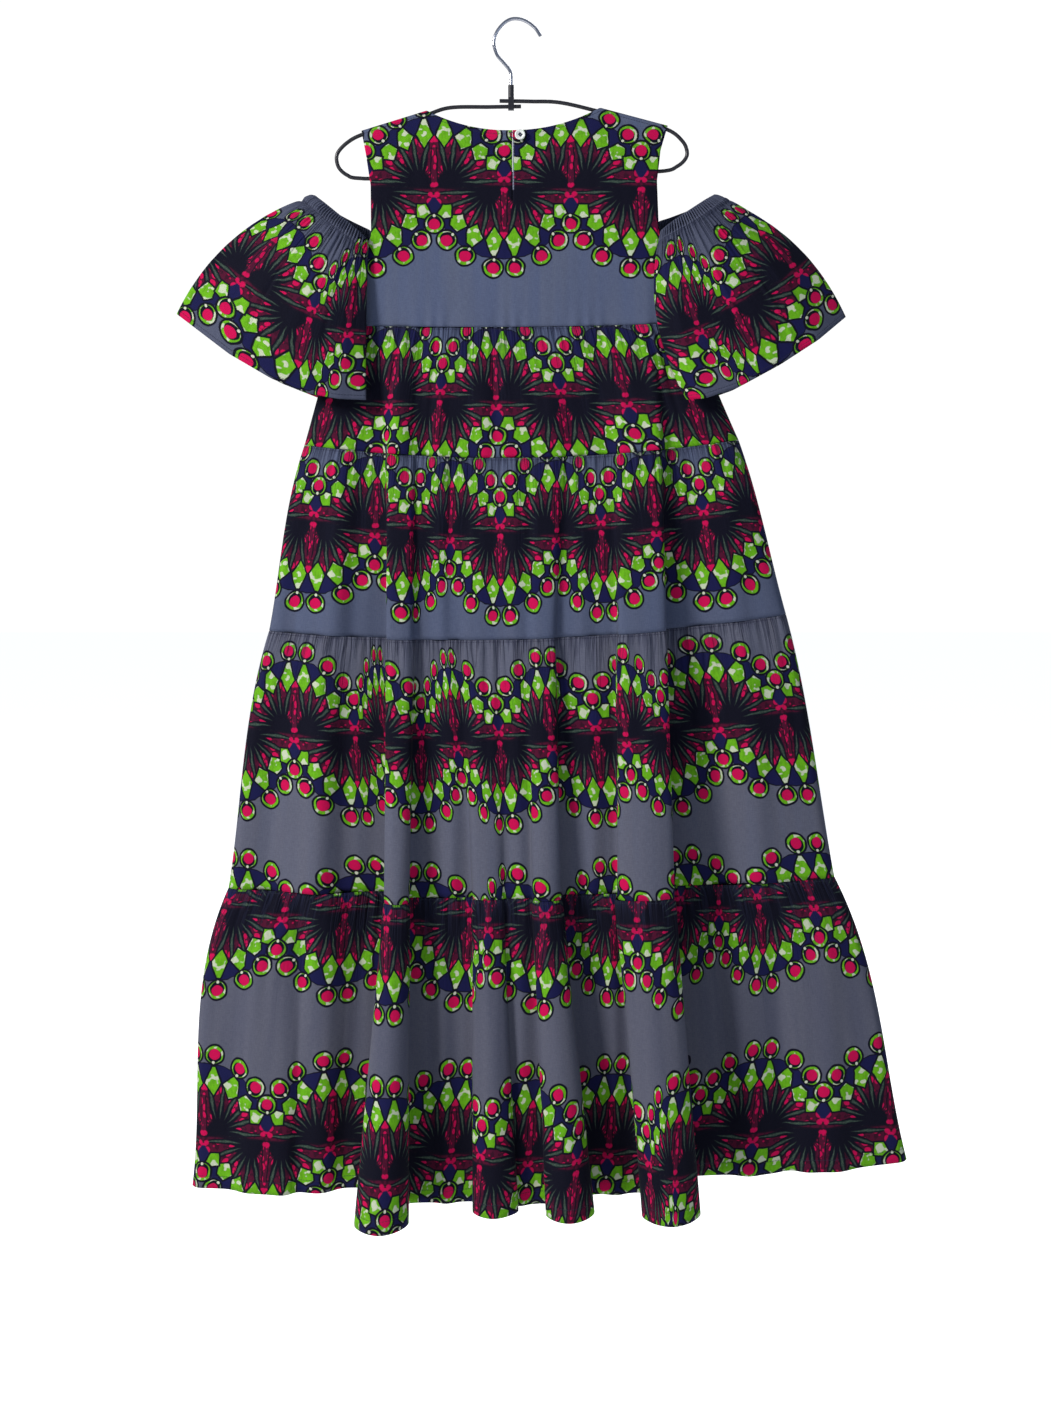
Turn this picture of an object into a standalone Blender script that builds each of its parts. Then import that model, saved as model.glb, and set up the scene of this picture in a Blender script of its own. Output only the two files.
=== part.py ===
"""A tiered cold-shoulder dress that hangs from a wire hanger, in metres, +Z up.

The origin is the inside top of the hanger's hook. The dress's back, with its slit and button, faces -Y,
and its front faces the wall at +Y. Every cloth piece is a wall of even thickness that follows its folds.
"""
import math

import bmesh
import bpy
import numpy as np
from mathutils import Matrix, Vector

for leftover in list(bpy.data.objects):
    bpy.data.objects.remove(leftover, do_unlink=True)

# Cloth and seams
WALL = 0.0015
SEAM_GAP = 0.0003
FLAT_DEPTH = 0.012
ROUNDING = 0.030
CURVE_POINTS = 640

# Heights of the seams round the skirt: left side, middle, right side
SEAMS = (
    ("yoke", -0.353, -0.355, -0.350),
    ("seam_1", -0.491, -0.506, -0.485),
    ("seam_2", -0.706, -0.713, -0.687),
    ("seam_3", -1.004, -1.004, -0.991),
    ("hem", -1.349, -1.341, -1.319),
)
# Half-flat edges of the skirt at the same five heights
SIDE_LEFT = (-0.204, -0.241, -0.282, -0.329, -0.371)
SIDE_RIGHT = (0.205, 0.262, 0.317, 0.373, 0.457)
# How far each tier swells past a straight side line: left, right. It is most at a third of its height.
SWELL = ((0.000, 0.000), (0.005, 0.003), (0.007, 0.004), (0.017, 0.013))
# How much lower the hem hangs for each metre that a fold stands out
HEM_SAG = 0.10

# Lobes that stand forward on the back of the dress. The two edges are given at the five seam heights.
# Columns: name, left edge, right edge, depth at the hem, depth of the recess that follows it at the hem
BACK_LOBES = (
    ("first", (-0.146, -0.145, -0.145, -0.145, -0.176), (-0.118, -0.114, -0.111, -0.114, -0.113), 0.122, 0.050),
    ("second", (-0.066, -0.050, -0.057, -0.047, -0.046), (-0.020, -0.016, -0.013, -0.007, 0.007), 0.092, 0.060),
    ("third", (0.021, 0.021, 0.019, 0.021, 0.036), (0.055, 0.058, 0.050, 0.057, 0.093), 0.108, 0.044),
    ("fourth", (0.119, 0.122, 0.119, 0.117, 0.143), (0.159, 0.172, 0.177, 0.184, 0.210), 0.124, 0.012),
)
# The front hangs flatter, against the wall
FRONT_LOBES = (
    ("first", (-0.150, -0.170, -0.190, -0.220, -0.240), (-0.110, -0.125, -0.140, -0.160, -0.165), 0.034, 0.014),
    ("second", (-0.070, -0.075, -0.075, -0.080, -0.085), (-0.030, -0.025, -0.020, -0.010, -0.005), 0.040, 0.018),
    ("third", (0.030, 0.035, 0.045, 0.060, 0.075), (0.075, 0.085, 0.105, 0.130, 0.150), 0.032, 0.016),
    ("fourth", (0.125, 0.145, 0.170, 0.205, 0.240), (0.160, 0.190, 0.220, 0.265, 0.310), 0.038, 0.012),
)
# Soft waves in the wings outside the lobes: share of the way from the side to the lobes, depth at the hem
LEFT_WAVES = ((0.25, 0.012), (0.58, 0.032), (0.90, 0.012))
RIGHT_WAVES = ((0.20, 0.013), (0.52, 0.021), (0.86, 0.012))
# Share of the hem's depth that lobes and recesses have at each seam
LOBE_SHARE = (0.00, 0.12, 0.30, 0.64, 1.00)
RECESS_SHARE = (0.00, 0.20, 0.50, 0.85, 1.00)
# How far a recess runs in behind the lobes beside it, on the back and on the front
BACK_TUCK = (0.000, 0.000, 0.002, 0.005, 0.007)
FRONT_TUCK = (0.000, 0.000, 0.000, 0.000, 0.000)
# The first and fourth lobes stand over the wings like box pleats
OUTER_TUCK = (0.000, 0.001, 0.006, 0.014, 0.022)
# How the cloth turns at the side seams: a short way in, it stands this far from the seams' plane
TURN_IN = 0.0035
TURN_DEPTH = 0.0085

# Gathers under each seam
GATHERS = 18
COLUMNS_PER_GATHER = 4
# Rows of points down each tier, as shares of its height, and how deep its gathers are at each row
GATHER_ROWS = (
    (0.0, 0.13, 0.42, 1.0), (0.0, 0.13, 0.42, 1.0), (0.0, 0.10, 0.42, 1.0), (0.0, 0.09, 0.36, 0.68, 1.0))
GATHER_DEPTH = (
    (0.0008, 0.0034, 0.0018, 0.0), (0.0008, 0.0036, 0.0020, 0.0), (0.0008, 0.0038, 0.0020, 0.0),
    (0.0008, 0.0040, 0.0022, 0.0008, 0.0))
# How closely the columns of each tier keep beside the folds, rather than evenly apart
FOLLOW_FOLDS = (0.0, 0.5, 1.0, 1.0)
# How unevenly wide the gathers are, and the share of a panel's width at each side that has none
GATHER_UNEVEN = 0.24
EDGE_FADE = 0.05

# Bodice outline: height, left edge, right edge, half depth of the edge
BODICE_EDGES = (
    ("shoulder", -0.1264, -0.1750, 0.1800, 0.0000),
    ("upper armhole", -0.1560, -0.1690, 0.1710, 0.0085),
    ("middle armhole", -0.1910, -0.1635, 0.1668, 0.0110),
    ("sleeve joins", -0.2500, -0.1630, 0.1690, 0.0120),
    ("lower armhole", -0.2690, -0.1730, 0.1820, 0.0095),
    ("underarm", -0.2880, -0.1940, 0.1990, 0.0000),
    ("side", -0.3200, -0.1990, 0.2020, 0.0000),
    ("yoke seam", -0.3530, -0.2040, 0.2050, 0.0000),
)
SHOULDER_LEFT = ((-0.175, -0.1264), (-0.100, -0.1032))
SHOULDER_RIGHT = ((0.102, -0.0998), (0.180, -0.1206))
NECK_BOWL_POWER = 2.2
BACK_NECK_DROP = 0.0262
FRONT_NECK_DROP = 0.0700
# Height of the cloth over the hanger's arms, as if it ran on across the neck: x, z
OVER_WIRE = (
    SHOULDER_LEFT[0], SHOULDER_LEFT[1], (-0.072, -0.0953), (0.056, -0.0895), SHOULDER_RIGHT[0],
    SHOULDER_RIGHT[1])
# Columns across a shoulder, as shares of the way from its outer end to the neck
SHOULDER_SHARES = (0.0, 0.08, 0.26, 0.50, 0.75, 1.0)
NECK_COLUMNS = 16
NECK_CORNER_LEAN = 0.9
# Below the wire the bodice reaches its full depth over this drop, and a closed side rounds in over this width
DEPTH_DROP = 0.055
SIDE_ROUND = 0.014
SHOULDER_DROP = 0.060
# Rows of the bodice as shares of its height, shoulder to yoke seam
BODICE_ROWS = (0.0, 0.005, 0.015, 0.055, 0.15, 0.35, 0.46, 0.545, 0.588, 0.63, 0.672, 0.713, 0.86, 1.0)
SLIT_WIDTH = 0.0014
SLIT_ROWS = 5

# Hanger: one wire, from its left arm's end round both loops to its right arm's end, as (x, z)
WIRE_RADIUS = 0.00225
WIRE_ROUTE = (
    (0.0100, -0.0980), (-0.0260, -0.0986), (-0.0720, -0.0994), (-0.1000, -0.1079), (-0.1375, -0.1193),
    (-0.1750, -0.1309), (-0.1910, -0.1395), (-0.2015, -0.1500), (-0.2040, -0.1590), (-0.2010, -0.1695),
    (-0.1920, -0.1775), (-0.1790, -0.1812), (-0.1300, -0.1810), (0.1250, -0.1742), (0.1760, -0.1728),
    (0.1915, -0.1672), (0.2005, -0.1590), (0.2025, -0.1500), (0.1970, -0.1380), (0.1800, -0.1250),
    (0.1410, -0.1146), (0.1020, -0.1043), (0.0560, -0.0936), (0.0210, -0.0922), (-0.0150, -0.0916))
WIRE_ROOM = 0.0012
HOOK_RADIUS = 0.0020
HOOK_ROUTE = (
    (-0.0016, -0.0732), (-0.0016, -0.0640), (-0.0030, -0.0563), (-0.0100, -0.0476), (-0.0170, -0.0394),
    (-0.0210, -0.0290), (-0.0212, -0.0200), (-0.0175, -0.0105), (-0.0105, -0.0020), (-0.0030, 0.0028),
    (0.0045, 0.0038), (0.0125, 0.0022), (0.0200, -0.0018), (0.0270, -0.0078), (0.0325, -0.0162))
HOOK_INSIDE_TOP = (0.0045, 0.0018)
FERRULE_AT = -0.0016
FERRULE_RADIUS = 0.0034
FERRULE_TOP = -0.0735
CLAMP_TOP = -0.0879
CLAMP_BOTTOM = -0.1020
CLAMP_HALF_WIDTH = 0.0034
CLAMP_WALL = 0.0013

# Sleeves
SLEEVE_GATHERS = 28
SLEEVE_COLUMNS_PER_GATHER = 2
SLEEVE_ROUNDING = 0.014
SLEEVE_ROWS = (0.0, 0.075, 0.17, 0.55, 1.0)
SLEEVE_GATHER_DEPTH = (0.0016, 0.0013, 0.0032, 0.0018, 0.0)
SEWN_COLUMNS = 6
# Columns over which the gathers fade out beside the armhole and at the outer fold
ARMHOLE_FADE = 12
OUTER_FOLD_FADE = 6
FAR_SIDE_DEPTH = 0.96
# Half of a sleeve's round, from the underarm past the armhole to the outer fold; the wall side mirrors it.
# Columns: name, top (x, depth, z), hem (x, depth, z), shares of the outer fold's and inner edge's bulge,
# rise of the casing on the wall side
LEFT_SLEEVE = (
    ("underarm", (-0.2010, 0.0000, -0.2905), (-0.2360, 0.0000, -0.4320), 0.0, 0.0, 0.000),
    ("return low", (-0.1885, 0.0095, -0.2845), (-0.2060, 0.0215, -0.4360), 0.0, 0.3, 0.000),
    ("return high", (-0.1765, 0.0142, -0.2745), (-0.1800, 0.0235, -0.4385), 0.0, 0.7, 0.004),
    ("armhole", (-0.1645, 0.0155, -0.2560), (-0.1650, 0.0310, -0.4405), 0.0, 1.0, 0.016),
    ("face 1", (-0.1780, 0.0215, -0.2440), (-0.1980, 0.0410, -0.4396), 0.0, 0.8, 0.011),
    ("face 2", (-0.1900, 0.0230, -0.2340), (-0.2300, 0.0420, -0.4338), 0.0, 0.4, 0.007),
    ("face 3", (-0.2030, 0.0215, -0.2232), (-0.2740, 0.0390, -0.4164), 0.2, 0.0, 0.003),
    ("face 4", (-0.2170, 0.0160, -0.2115), (-0.3240, 0.0280, -0.3874), 0.5, 0.0, 0.000),
    ("outer fold", (-0.2300, 0.0000, -0.2007), (-0.3910, 0.0000, -0.3376), 1.0, 0.0, 0.000),
)
RIGHT_SLEEVE = (
    ("underarm", (0.2060, 0.0000, -0.2905), (0.2580, 0.0000, -0.4170), 0.0, 0.0, 0.000),
    ("return low", (0.1935, 0.0095, -0.2845), (0.2350, 0.0215, -0.4280), 0.0, 0.3, 0.000),
    ("return high", (0.1855, 0.0142, -0.2745), (0.2150, 0.0240, -0.4370), 0.0, 0.7, 0.004),
    ("armhole", (0.1695, 0.0155, -0.2450), (0.1970, 0.0310, -0.4400), 0.0, 1.0, 0.016),
    ("face 1", (0.1830, 0.0235, -0.2350), (0.2200, 0.0450, -0.4390), 0.0, 0.8, 0.011),
    ("face 2", (0.1960, 0.0230, -0.2262), (0.2600, 0.0420, -0.4250), 0.0, 0.4, 0.007),
    ("face 3", (0.2090, 0.0215, -0.2175), (0.3050, 0.0390, -0.4005), 0.2, 0.0, 0.003),
    ("face 4", (0.2220, 0.0160, -0.2085), (0.3500, 0.0280, -0.3715), 0.5, 0.0, 0.000),
    ("outer fold", (0.2350, 0.0000, -0.1995), (0.3880, 0.0000, -0.3410), 1.0, 0.0, 0.000),
)
LEFT_OUTER_BULGE = (-0.0150, 0.0180)
RIGHT_OUTER_BULGE = (0.0150, 0.0160)
LEFT_INNER_BULGE = -0.0010
RIGHT_INNER_BULGE = -0.0200

# Button and loop
BUTTON_AT = (0.0088, -0.1337)
BUTTON_RADIUS = 0.0061
BUTTON_THICK = 0.0024
BUTTON_HOLE_RADIUS = 0.0008
BUTTON_HOLE_SPREAD = 0.0014
BUTTON_SEAT = 0.0124
BUTTON_BACK = -0.0143
BUTTON_SHANK_RADIUS = 0.0016
LOOP_RADIUS = 0.0006
LOOP_PLANE = -0.0133
LOOP_ROUND = 0.0029
LOOP_START = -0.0042
# Half the loop's width at its sewn ends and half way along
LOOP_FOOT = 0.0026
LOOP_WAIST = 0.0030


def make_material(name, colour, roughness, metallic=0.0):
    material = bpy.data.materials.new(name)
    material.use_nodes = True
    shader = material.node_tree.nodes["Principled BSDF"]
    shader.inputs["Base Color"].default_value = (*colour, 1.0)
    shader.inputs["Roughness"].default_value = roughness
    shader.inputs["Metallic"].default_value = metallic
    material.diffuse_color = (*colour, 1.0)
    return material


def cloth_material(name, colour):
    return make_material(name, colour, 0.85)


def wrap_object(name, mesh, material):
    piece = bpy.data.objects.new(name, mesh)
    bpy.context.scene.collection.objects.link(piece)
    mesh.materials.append(material)
    return piece


def at_level(values, level):
    return float(np.interp(level, range(len(values)), values))


def seam_height(level, x):
    """Height of the seam line at x, a parabola through its left, middle and right heights."""
    left = at_level([row[1] for row in SEAMS], level)
    middle = at_level([row[2] for row in SEAMS], level)
    right = at_level([row[3] for row in SEAMS], level)
    x_left = at_level(SIDE_LEFT, level)
    x_right = at_level(SIDE_RIGHT, level)
    share = np.clip((x - x_left) / (x_right - x_left), 0.0, 1.0)
    at_left = left * (1 - share) * (1 - 2 * share)
    at_middle = middle * 4 * share * (1 - share)
    at_right = right * share * (2 * share - 1)
    return at_left + at_middle + at_right


def rounded_curve(stations, closed=False, rounding=ROUNDING):
    """Runs a line through the stations and rounds its corners. Its ends stay where they are."""
    stations = np.array(stations, dtype=float)
    if closed:
        stations = np.vstack([stations, stations[:1]])
    steps = np.linalg.norm(np.diff(stations, axis=0), axis=1)
    along = np.concatenate([[0.0], np.cumsum(steps)])
    even = np.linspace(0.0, along[-1], CURVE_POINTS)
    line = np.column_stack([np.interp(even, along, column) for column in stations.T])
    reach = max(2, int(rounding / 2 / (even[1] - even[0])))
    weights = np.hanning(2 * reach + 3)[1:-1]
    weights /= weights.sum()
    if closed:
        padded = np.vstack([line[-reach - 1:-1], line, line[1:reach + 1]])
    else:
        before = 2 * line[0] - line[reach:0:-1]
        after = 2 * line[-1] - line[-2:-reach - 2:-1]
        padded = np.vstack([before, line, after])
    return np.column_stack([np.convolve(column, weights, mode="valid") for column in padded.T])


def station_shares(stations):
    """Share of the whole length at which each station stands."""
    steps = np.linalg.norm(np.diff(np.array(stations), axis=0), axis=1)
    along = np.concatenate([[0.0], np.cumsum(steps)])
    return along / along[-1]


def along_curve(curve, shares):
    """Points of a curve at given shares of its length."""
    along = station_shares(curve)
    return np.column_stack([np.interp(shares, along, column) for column in curve.T])


def skirt_stations(level, lobes, tuck, facing):
    """Corner points of one panel's section, left side seam to right side seam. facing is -1 on the back."""
    left = at_level(SIDE_LEFT, level)
    right = at_level(SIDE_RIGHT, level)
    tier = min(int(level), len(SWELL) - 1)
    fall = level - tier
    swell = 27 / 4 * fall * (1 - fall) ** 2
    left -= SWELL[tier][0] * swell
    right += SWELL[tier][1] * swell
    lobe_share = at_level(LOBE_SHARE, level)
    recess_share = at_level(RECESS_SHARE, level)
    tucked = at_level(tuck, level)
    outer_tuck = at_level(OUTER_TUCK, level) if facing < 0 else 0.0

    def lobe_depth(hem_depth):
        return FLAT_DEPTH + (hem_depth - FLAT_DEPTH) * lobe_share

    def recess_depth(hem_depth):
        return FLAT_DEPTH + (hem_depth - FLAT_DEPTH) * recess_share

    block_left = at_level(lobes[0][1], level)
    block_right = at_level(lobes[-1][2], level)
    points = [(left, 0.0), (left + TURN_IN, TURN_DEPTH)]
    for share, hem_depth in LEFT_WAVES:
        points.append((left + (block_left - left) * share, recess_depth(hem_depth)))
    points.append((block_left + outer_tuck, recess_depth(FLAT_DEPTH + 0.002)))
    for index, (_, left_edge, right_edge, depth, recess) in enumerate(lobes):
        points.append((at_level(left_edge, level), lobe_depth(depth)))
        points.append((at_level(right_edge, level), lobe_depth(depth)))
        if index + 1 < len(lobes):
            next_left = at_level(lobes[index + 1][1], level)
            points.append((at_level(right_edge, level) - tucked, recess_depth(recess)))
            points.append((next_left + tucked, recess_depth(recess)))
    points.append((block_right - outer_tuck, recess_depth(lobes[-1][4])))
    for share, hem_depth in RIGHT_WAVES:
        points.append((block_right + (right - block_right) * share, recess_depth(hem_depth)))
    points += [(right - TURN_IN, TURN_DEPTH), (right, 0.0)]
    return [(x, facing * depth) for x, depth in points]


def gather_shares(count, per_gather, seed):
    """Shares of the width for the columns, and the wave at each, uneven from one gather to the next."""
    wave_at = np.arange(count * per_gather + 1) / per_gather
    even = wave_at / count
    shift = np.sin(2 * math.pi * (2.7 * even + 0.13 * seed)) + np.sin(2 * math.pi * (5.3 * even + 0.41 * seed))
    fade = np.minimum(1.0, np.minimum(even, 1 - even) / EDGE_FADE)
    shares = even + GATHER_UNEVEN * 0.5 * shift * fade / count
    size = 0.72 + 0.28 * np.sin(2 * math.pi * (4.1 * even + 0.29 * seed))
    return shares, np.sin(2 * math.pi * wave_at) * size * fade


def sheet_normals(grid, closed):
    """Unit normals of a grid of points (rows, columns, 3)."""
    if closed:
        across = np.roll(grid, -1, axis=1) - np.roll(grid, 1, axis=1)
    else:
        across = np.gradient(grid, axis=1)
    down = np.gradient(grid, axis=0)
    normals = np.cross(across, down)
    return normals / np.linalg.norm(normals, axis=2, keepdims=True)


def flat_normals(grid, closed):
    """Level unit normals, so that a wall keeps its rims level."""
    normals = sheet_normals(grid, closed)
    normals[..., 2] = 0.0
    return normals / np.linalg.norm(normals, axis=2, keepdims=True)


def solid_from_sheet(name, outer, inner, material, closed=False, cut=None):
    """Closes two grids of points into one wall. cut lists the cells left out, as (row, column).

    Both faces split each cell along the same diagonal, so that the wall keeps its thickness.
    """
    rows, columns, _ = outer.shape
    cut = cut or set()
    mesh_form = bmesh.new()
    faces = []
    for grid in (outer, inner):
        faces.append([[mesh_form.verts.new(point) for point in row] for row in grid])
    outer_verts, inner_verts = faces
    last = columns if closed else columns - 1
    border = {}
    for row in range(rows - 1):
        for column in range(last):
            if (row, column) in cut:
                continue
            after = (column + 1) % columns
            corners = [(row, column), (row, after), (row + 1, after), (row + 1, column)]
            for triangle in ((0, 1, 2), (0, 2, 3)):
                places = [corners[index] for index in triangle]
                mesh_form.faces.new([outer_verts[r][c] for r, c in places])
                mesh_form.faces.new([inner_verts[r][c] for r, c in reversed(places)])
            for start, end in zip(corners, corners[1:] + corners[:1]):
                if (end, start) in border:
                    del border[(end, start)]
                else:
                    border[(start, end)] = True
    for start, end in border:
        mesh_form.faces.new([
            outer_verts[end[0]][end[1]], outer_verts[start[0]][start[1]],
            inner_verts[start[0]][start[1]], inner_verts[end[0]][end[1]]])
    loose = [vert for vert in mesh_form.verts if not vert.link_faces]
    bmesh.ops.delete(mesh_form, geom=loose, context="VERTS")
    bmesh.ops.recalc_face_normals(mesh_form, faces=mesh_form.faces)
    mesh = bpy.data.meshes.new(name)
    mesh_form.to_mesh(mesh)
    mesh_form.free()
    mesh.shade_smooth()
    return wrap_object(name, mesh, material)


def keep_off_middle(points, facing):
    """Holds a panel half a seam gap from the plane of the side seams."""
    points[..., 1] = facing * np.maximum(facing * points[..., 1], SEAM_GAP / 2)
    return points


def tier_panel(name, tier, lobes, tuck, facing, material):
    shares, wave = gather_shares(GATHERS, COLUMNS_PER_GATHER, tier + (4 if facing > 0 else 0))
    fold_shares = station_shares(skirt_stations(tier + 0.5, lobes, tuck, facing))
    curve_shares = np.linspace(0.0, 1.0, CURVE_POINTS)
    rows = []
    for fall, depth in zip(GATHER_ROWS[tier], GATHER_DEPTH[tier]):
        level = tier + min(fall, 0.9999)
        stations = skirt_stations(level, lobes, tuck, facing)
        curve = rounded_curve(stations)
        beside_folds = np.interp(shares, fold_shares, station_shares(stations))
        columns = shares + (beside_folds - shares) * FOLLOW_FOLDS[tier]
        points = np.column_stack([np.interp(columns, curve_shares, column) for column in curve.T])
        along = np.gradient(points, axis=0)
        normals = np.column_stack([-along[:, 1], along[:, 0]])
        normals /= np.linalg.norm(normals, axis=1, keepdims=True)
        points = points + normals * (depth * wave)[:, None]
        heights = np.array([
            (1 - fall) * seam_height(tier, x) + fall * seam_height(tier + 1, x) for x in points[:, 0]])
        if tier + 2 == len(SEAMS):
            heights -= HEM_SAG * fall * np.maximum(0.0, abs(points[:, 1]) - FLAT_DEPTH)
        rows.append(np.column_stack([points, heights]))
    grid = np.array(rows)
    grid[0, :, 2] -= SEAM_GAP / 2
    if tier + 1 < len(SEAMS) - 1:
        grid[-1, :, 2] += SEAM_GAP / 2
    normals = flat_normals(grid, False)
    outer = keep_off_middle(grid + normals * WALL / 2, facing)
    inner = keep_off_middle(grid - normals * WALL / 2, facing)
    return solid_from_sheet(name, outer, inner, material)


def top_edge(x, neck_drop):
    """Height of the bodice's top at x: shoulder, neckline, shoulder."""
    (left_out, left_in), (right_in, right_out) = SHOULDER_LEFT, SHOULDER_RIGHT
    if x <= left_in[0]:
        return float(np.interp(x, (left_out[0], left_in[0]), (left_out[1], left_in[1])))
    if x >= right_in[0]:
        return float(np.interp(x, (right_in[0], right_out[0]), (right_in[1], right_out[1])))
    share = (x - left_in[0]) / (right_in[0] - left_in[0])
    line = left_in[1] + (right_in[1] - left_in[1]) * share
    bowl = 1 - abs(2 * share - 1) ** NECK_BOWL_POWER
    return line - neck_drop * bowl


def bodice_depth(start_x, x, z, edge_depth, x_left, x_right):
    """Half depth of the bodice: over the hanger wire at the shoulder, rounded in at a closed side."""
    over_wire = WIRE_RADIUS + WIRE_ROOM + WALL / 2
    drop = float(np.interp(start_x, [place[0] for place in OVER_WIRE], [place[1] for place in OVER_WIRE])) - z
    if drop < over_wire:
        shoulder = math.sqrt(max(0.0, over_wire ** 2 - (over_wire - drop) ** 2))
    else:
        reach = min(1.0, (drop - over_wire) / DEPTH_DROP)
        shoulder = over_wire + (FLAT_DEPTH - over_wire) * math.sin(math.pi / 2 * reach)
    inward = min(x - x_left, x_right - x)
    turn = math.sin(math.pi / 2 * min(1.0, max(0.0, inward) / SIDE_ROUND))
    closed_in = max(0.0, FLAT_DEPTH - edge_depth) if drop > SHOULDER_DROP else 0.0
    return max(shoulder - closed_in * (1 - turn), 0.0)


def bodice_panel(name, facing, neck_drop, slit, material):
    slit_half = SLIT_WIDTH / 2
    left_out, left_in = SHOULDER_LEFT[0][0], SHOULDER_LEFT[1][0]
    right_in, right_out = SHOULDER_RIGHT[0][0], SHOULDER_RIGHT[1][0]
    half = NECK_COLUMNS // 2
    inward = np.array(SHOULDER_SHARES)
    columns = list(left_out + (left_in - left_out) * inward[:-1])
    closer = 1 - np.cos(np.linspace(0, math.pi / 2, half))
    columns += list(left_in + (-slit_half - left_in) * closer)
    columns += list(right_in + (slit_half - right_in) * closer[::-1])
    columns += list(right_out + (right_in - right_out) * inward[-2::-1])
    edge_heights = [row[1] for row in BODICE_EDGES]
    rows = []
    for fall in BODICE_ROWS:
        row = []
        for column, start_x in enumerate(columns):
            side = (start_x - left_out) / (right_out - left_out)
            top = top_edge(start_x, neck_drop)
            edge_top = BODICE_EDGES[0][1]
            edge_z = edge_top + (BODICE_EDGES[-1][1] - edge_top) * fall
            x_left = float(np.interp(-edge_z, [-z for z in edge_heights], [r[2] for r in BODICE_EDGES]))
            x_right = float(np.interp(-edge_z, [-z for z in edge_heights], [r[3] for r in BODICE_EDGES]))
            edge_depth = float(np.interp(-edge_z, [-z for z in edge_heights], [r[4] for r in BODICE_EDGES]))
            if start_x < 0:
                reach = (start_x + slit_half) / (left_out + slit_half)
                x = -slit_half + (x_left + slit_half) * reach
            else:
                reach = (start_x - slit_half) / (right_out - slit_half)
                x = slit_half + (x_right - slit_half) * reach
            bottom = seam_height(0, x) + SEAM_GAP / 2
            z = top + (bottom - top) * fall
            depth = bodice_depth(start_x, x, z, edge_depth, x_left, x_right)
            row.append((x, facing * depth, z))
        rows.append(row)
    grid = np.array(rows)
    normals = sheet_normals(grid, False)
    on_shoulder = [x <= left_in or x >= right_in for x in columns]
    normals[0, on_shoulder] = (0.0, 0.0, facing)
    beside_shoulder = [len(SHOULDER_SHARES), -len(SHOULDER_SHARES) - 1]
    normals[0, beside_shoulder, 2] += facing * NECK_CORNER_LEAN
    normals[-1, :, 2] = 0.0
    normals /= np.linalg.norm(normals, axis=2, keepdims=True)
    outer = keep_off_middle(grid + normals * WALL / 2, facing)
    inner = keep_off_middle(grid - normals * WALL / 2, facing)
    middle = len(SHOULDER_SHARES) - 1 + half - 1
    cut = {(row, middle) for row in range(SLIT_ROWS)} if slit else None
    return solid_from_sheet(name, outer, inner, material, cut=cut)


def wire(name, points, radius, material, resolution):
    """A round wire through the points, smoothed between them, with closed ends."""
    smooth = []
    for index in range(len(points) - 1):
        before = Vector(points[max(0, index - 1)])
        start = Vector(points[index])
        end = Vector(points[index + 1])
        after = Vector(points[min(len(points) - 1, index + 2)])
        pieces = max(1, round((end - start).length / (radius * 5)))
        pieces = min(pieces, 4)
        for step in range(pieces):
            t = step / pieces
            smooth.append(0.5 * (
                2 * start + (end - before) * t + (2 * before - 5 * start + 4 * end - after) * t ** 2
                + (3 * start - before - 3 * end + after) * t ** 3))
    smooth.append(Vector(points[-1]))
    curve = bpy.data.curves.new(name, "CURVE")
    curve.dimensions = "3D"
    curve.bevel_depth = radius
    curve.bevel_resolution = resolution
    curve.use_fill_caps = True
    curve.render_resolution_u = 0
    spline = curve.splines.new("POLY")
    spline.points.add(len(smooth) - 1)
    for point, place in zip(spline.points, smooth):
        point.co = (*place, 1.0)
    curve.materials.append(material)
    piece = bpy.data.objects.new(name, curve)
    bpy.context.scene.collection.objects.link(piece)
    return piece


def wire_in_plane(name, route, radius, material):
    return wire(name, [(x, 0.0, z) for x, z in route], radius, material, 2)


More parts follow.
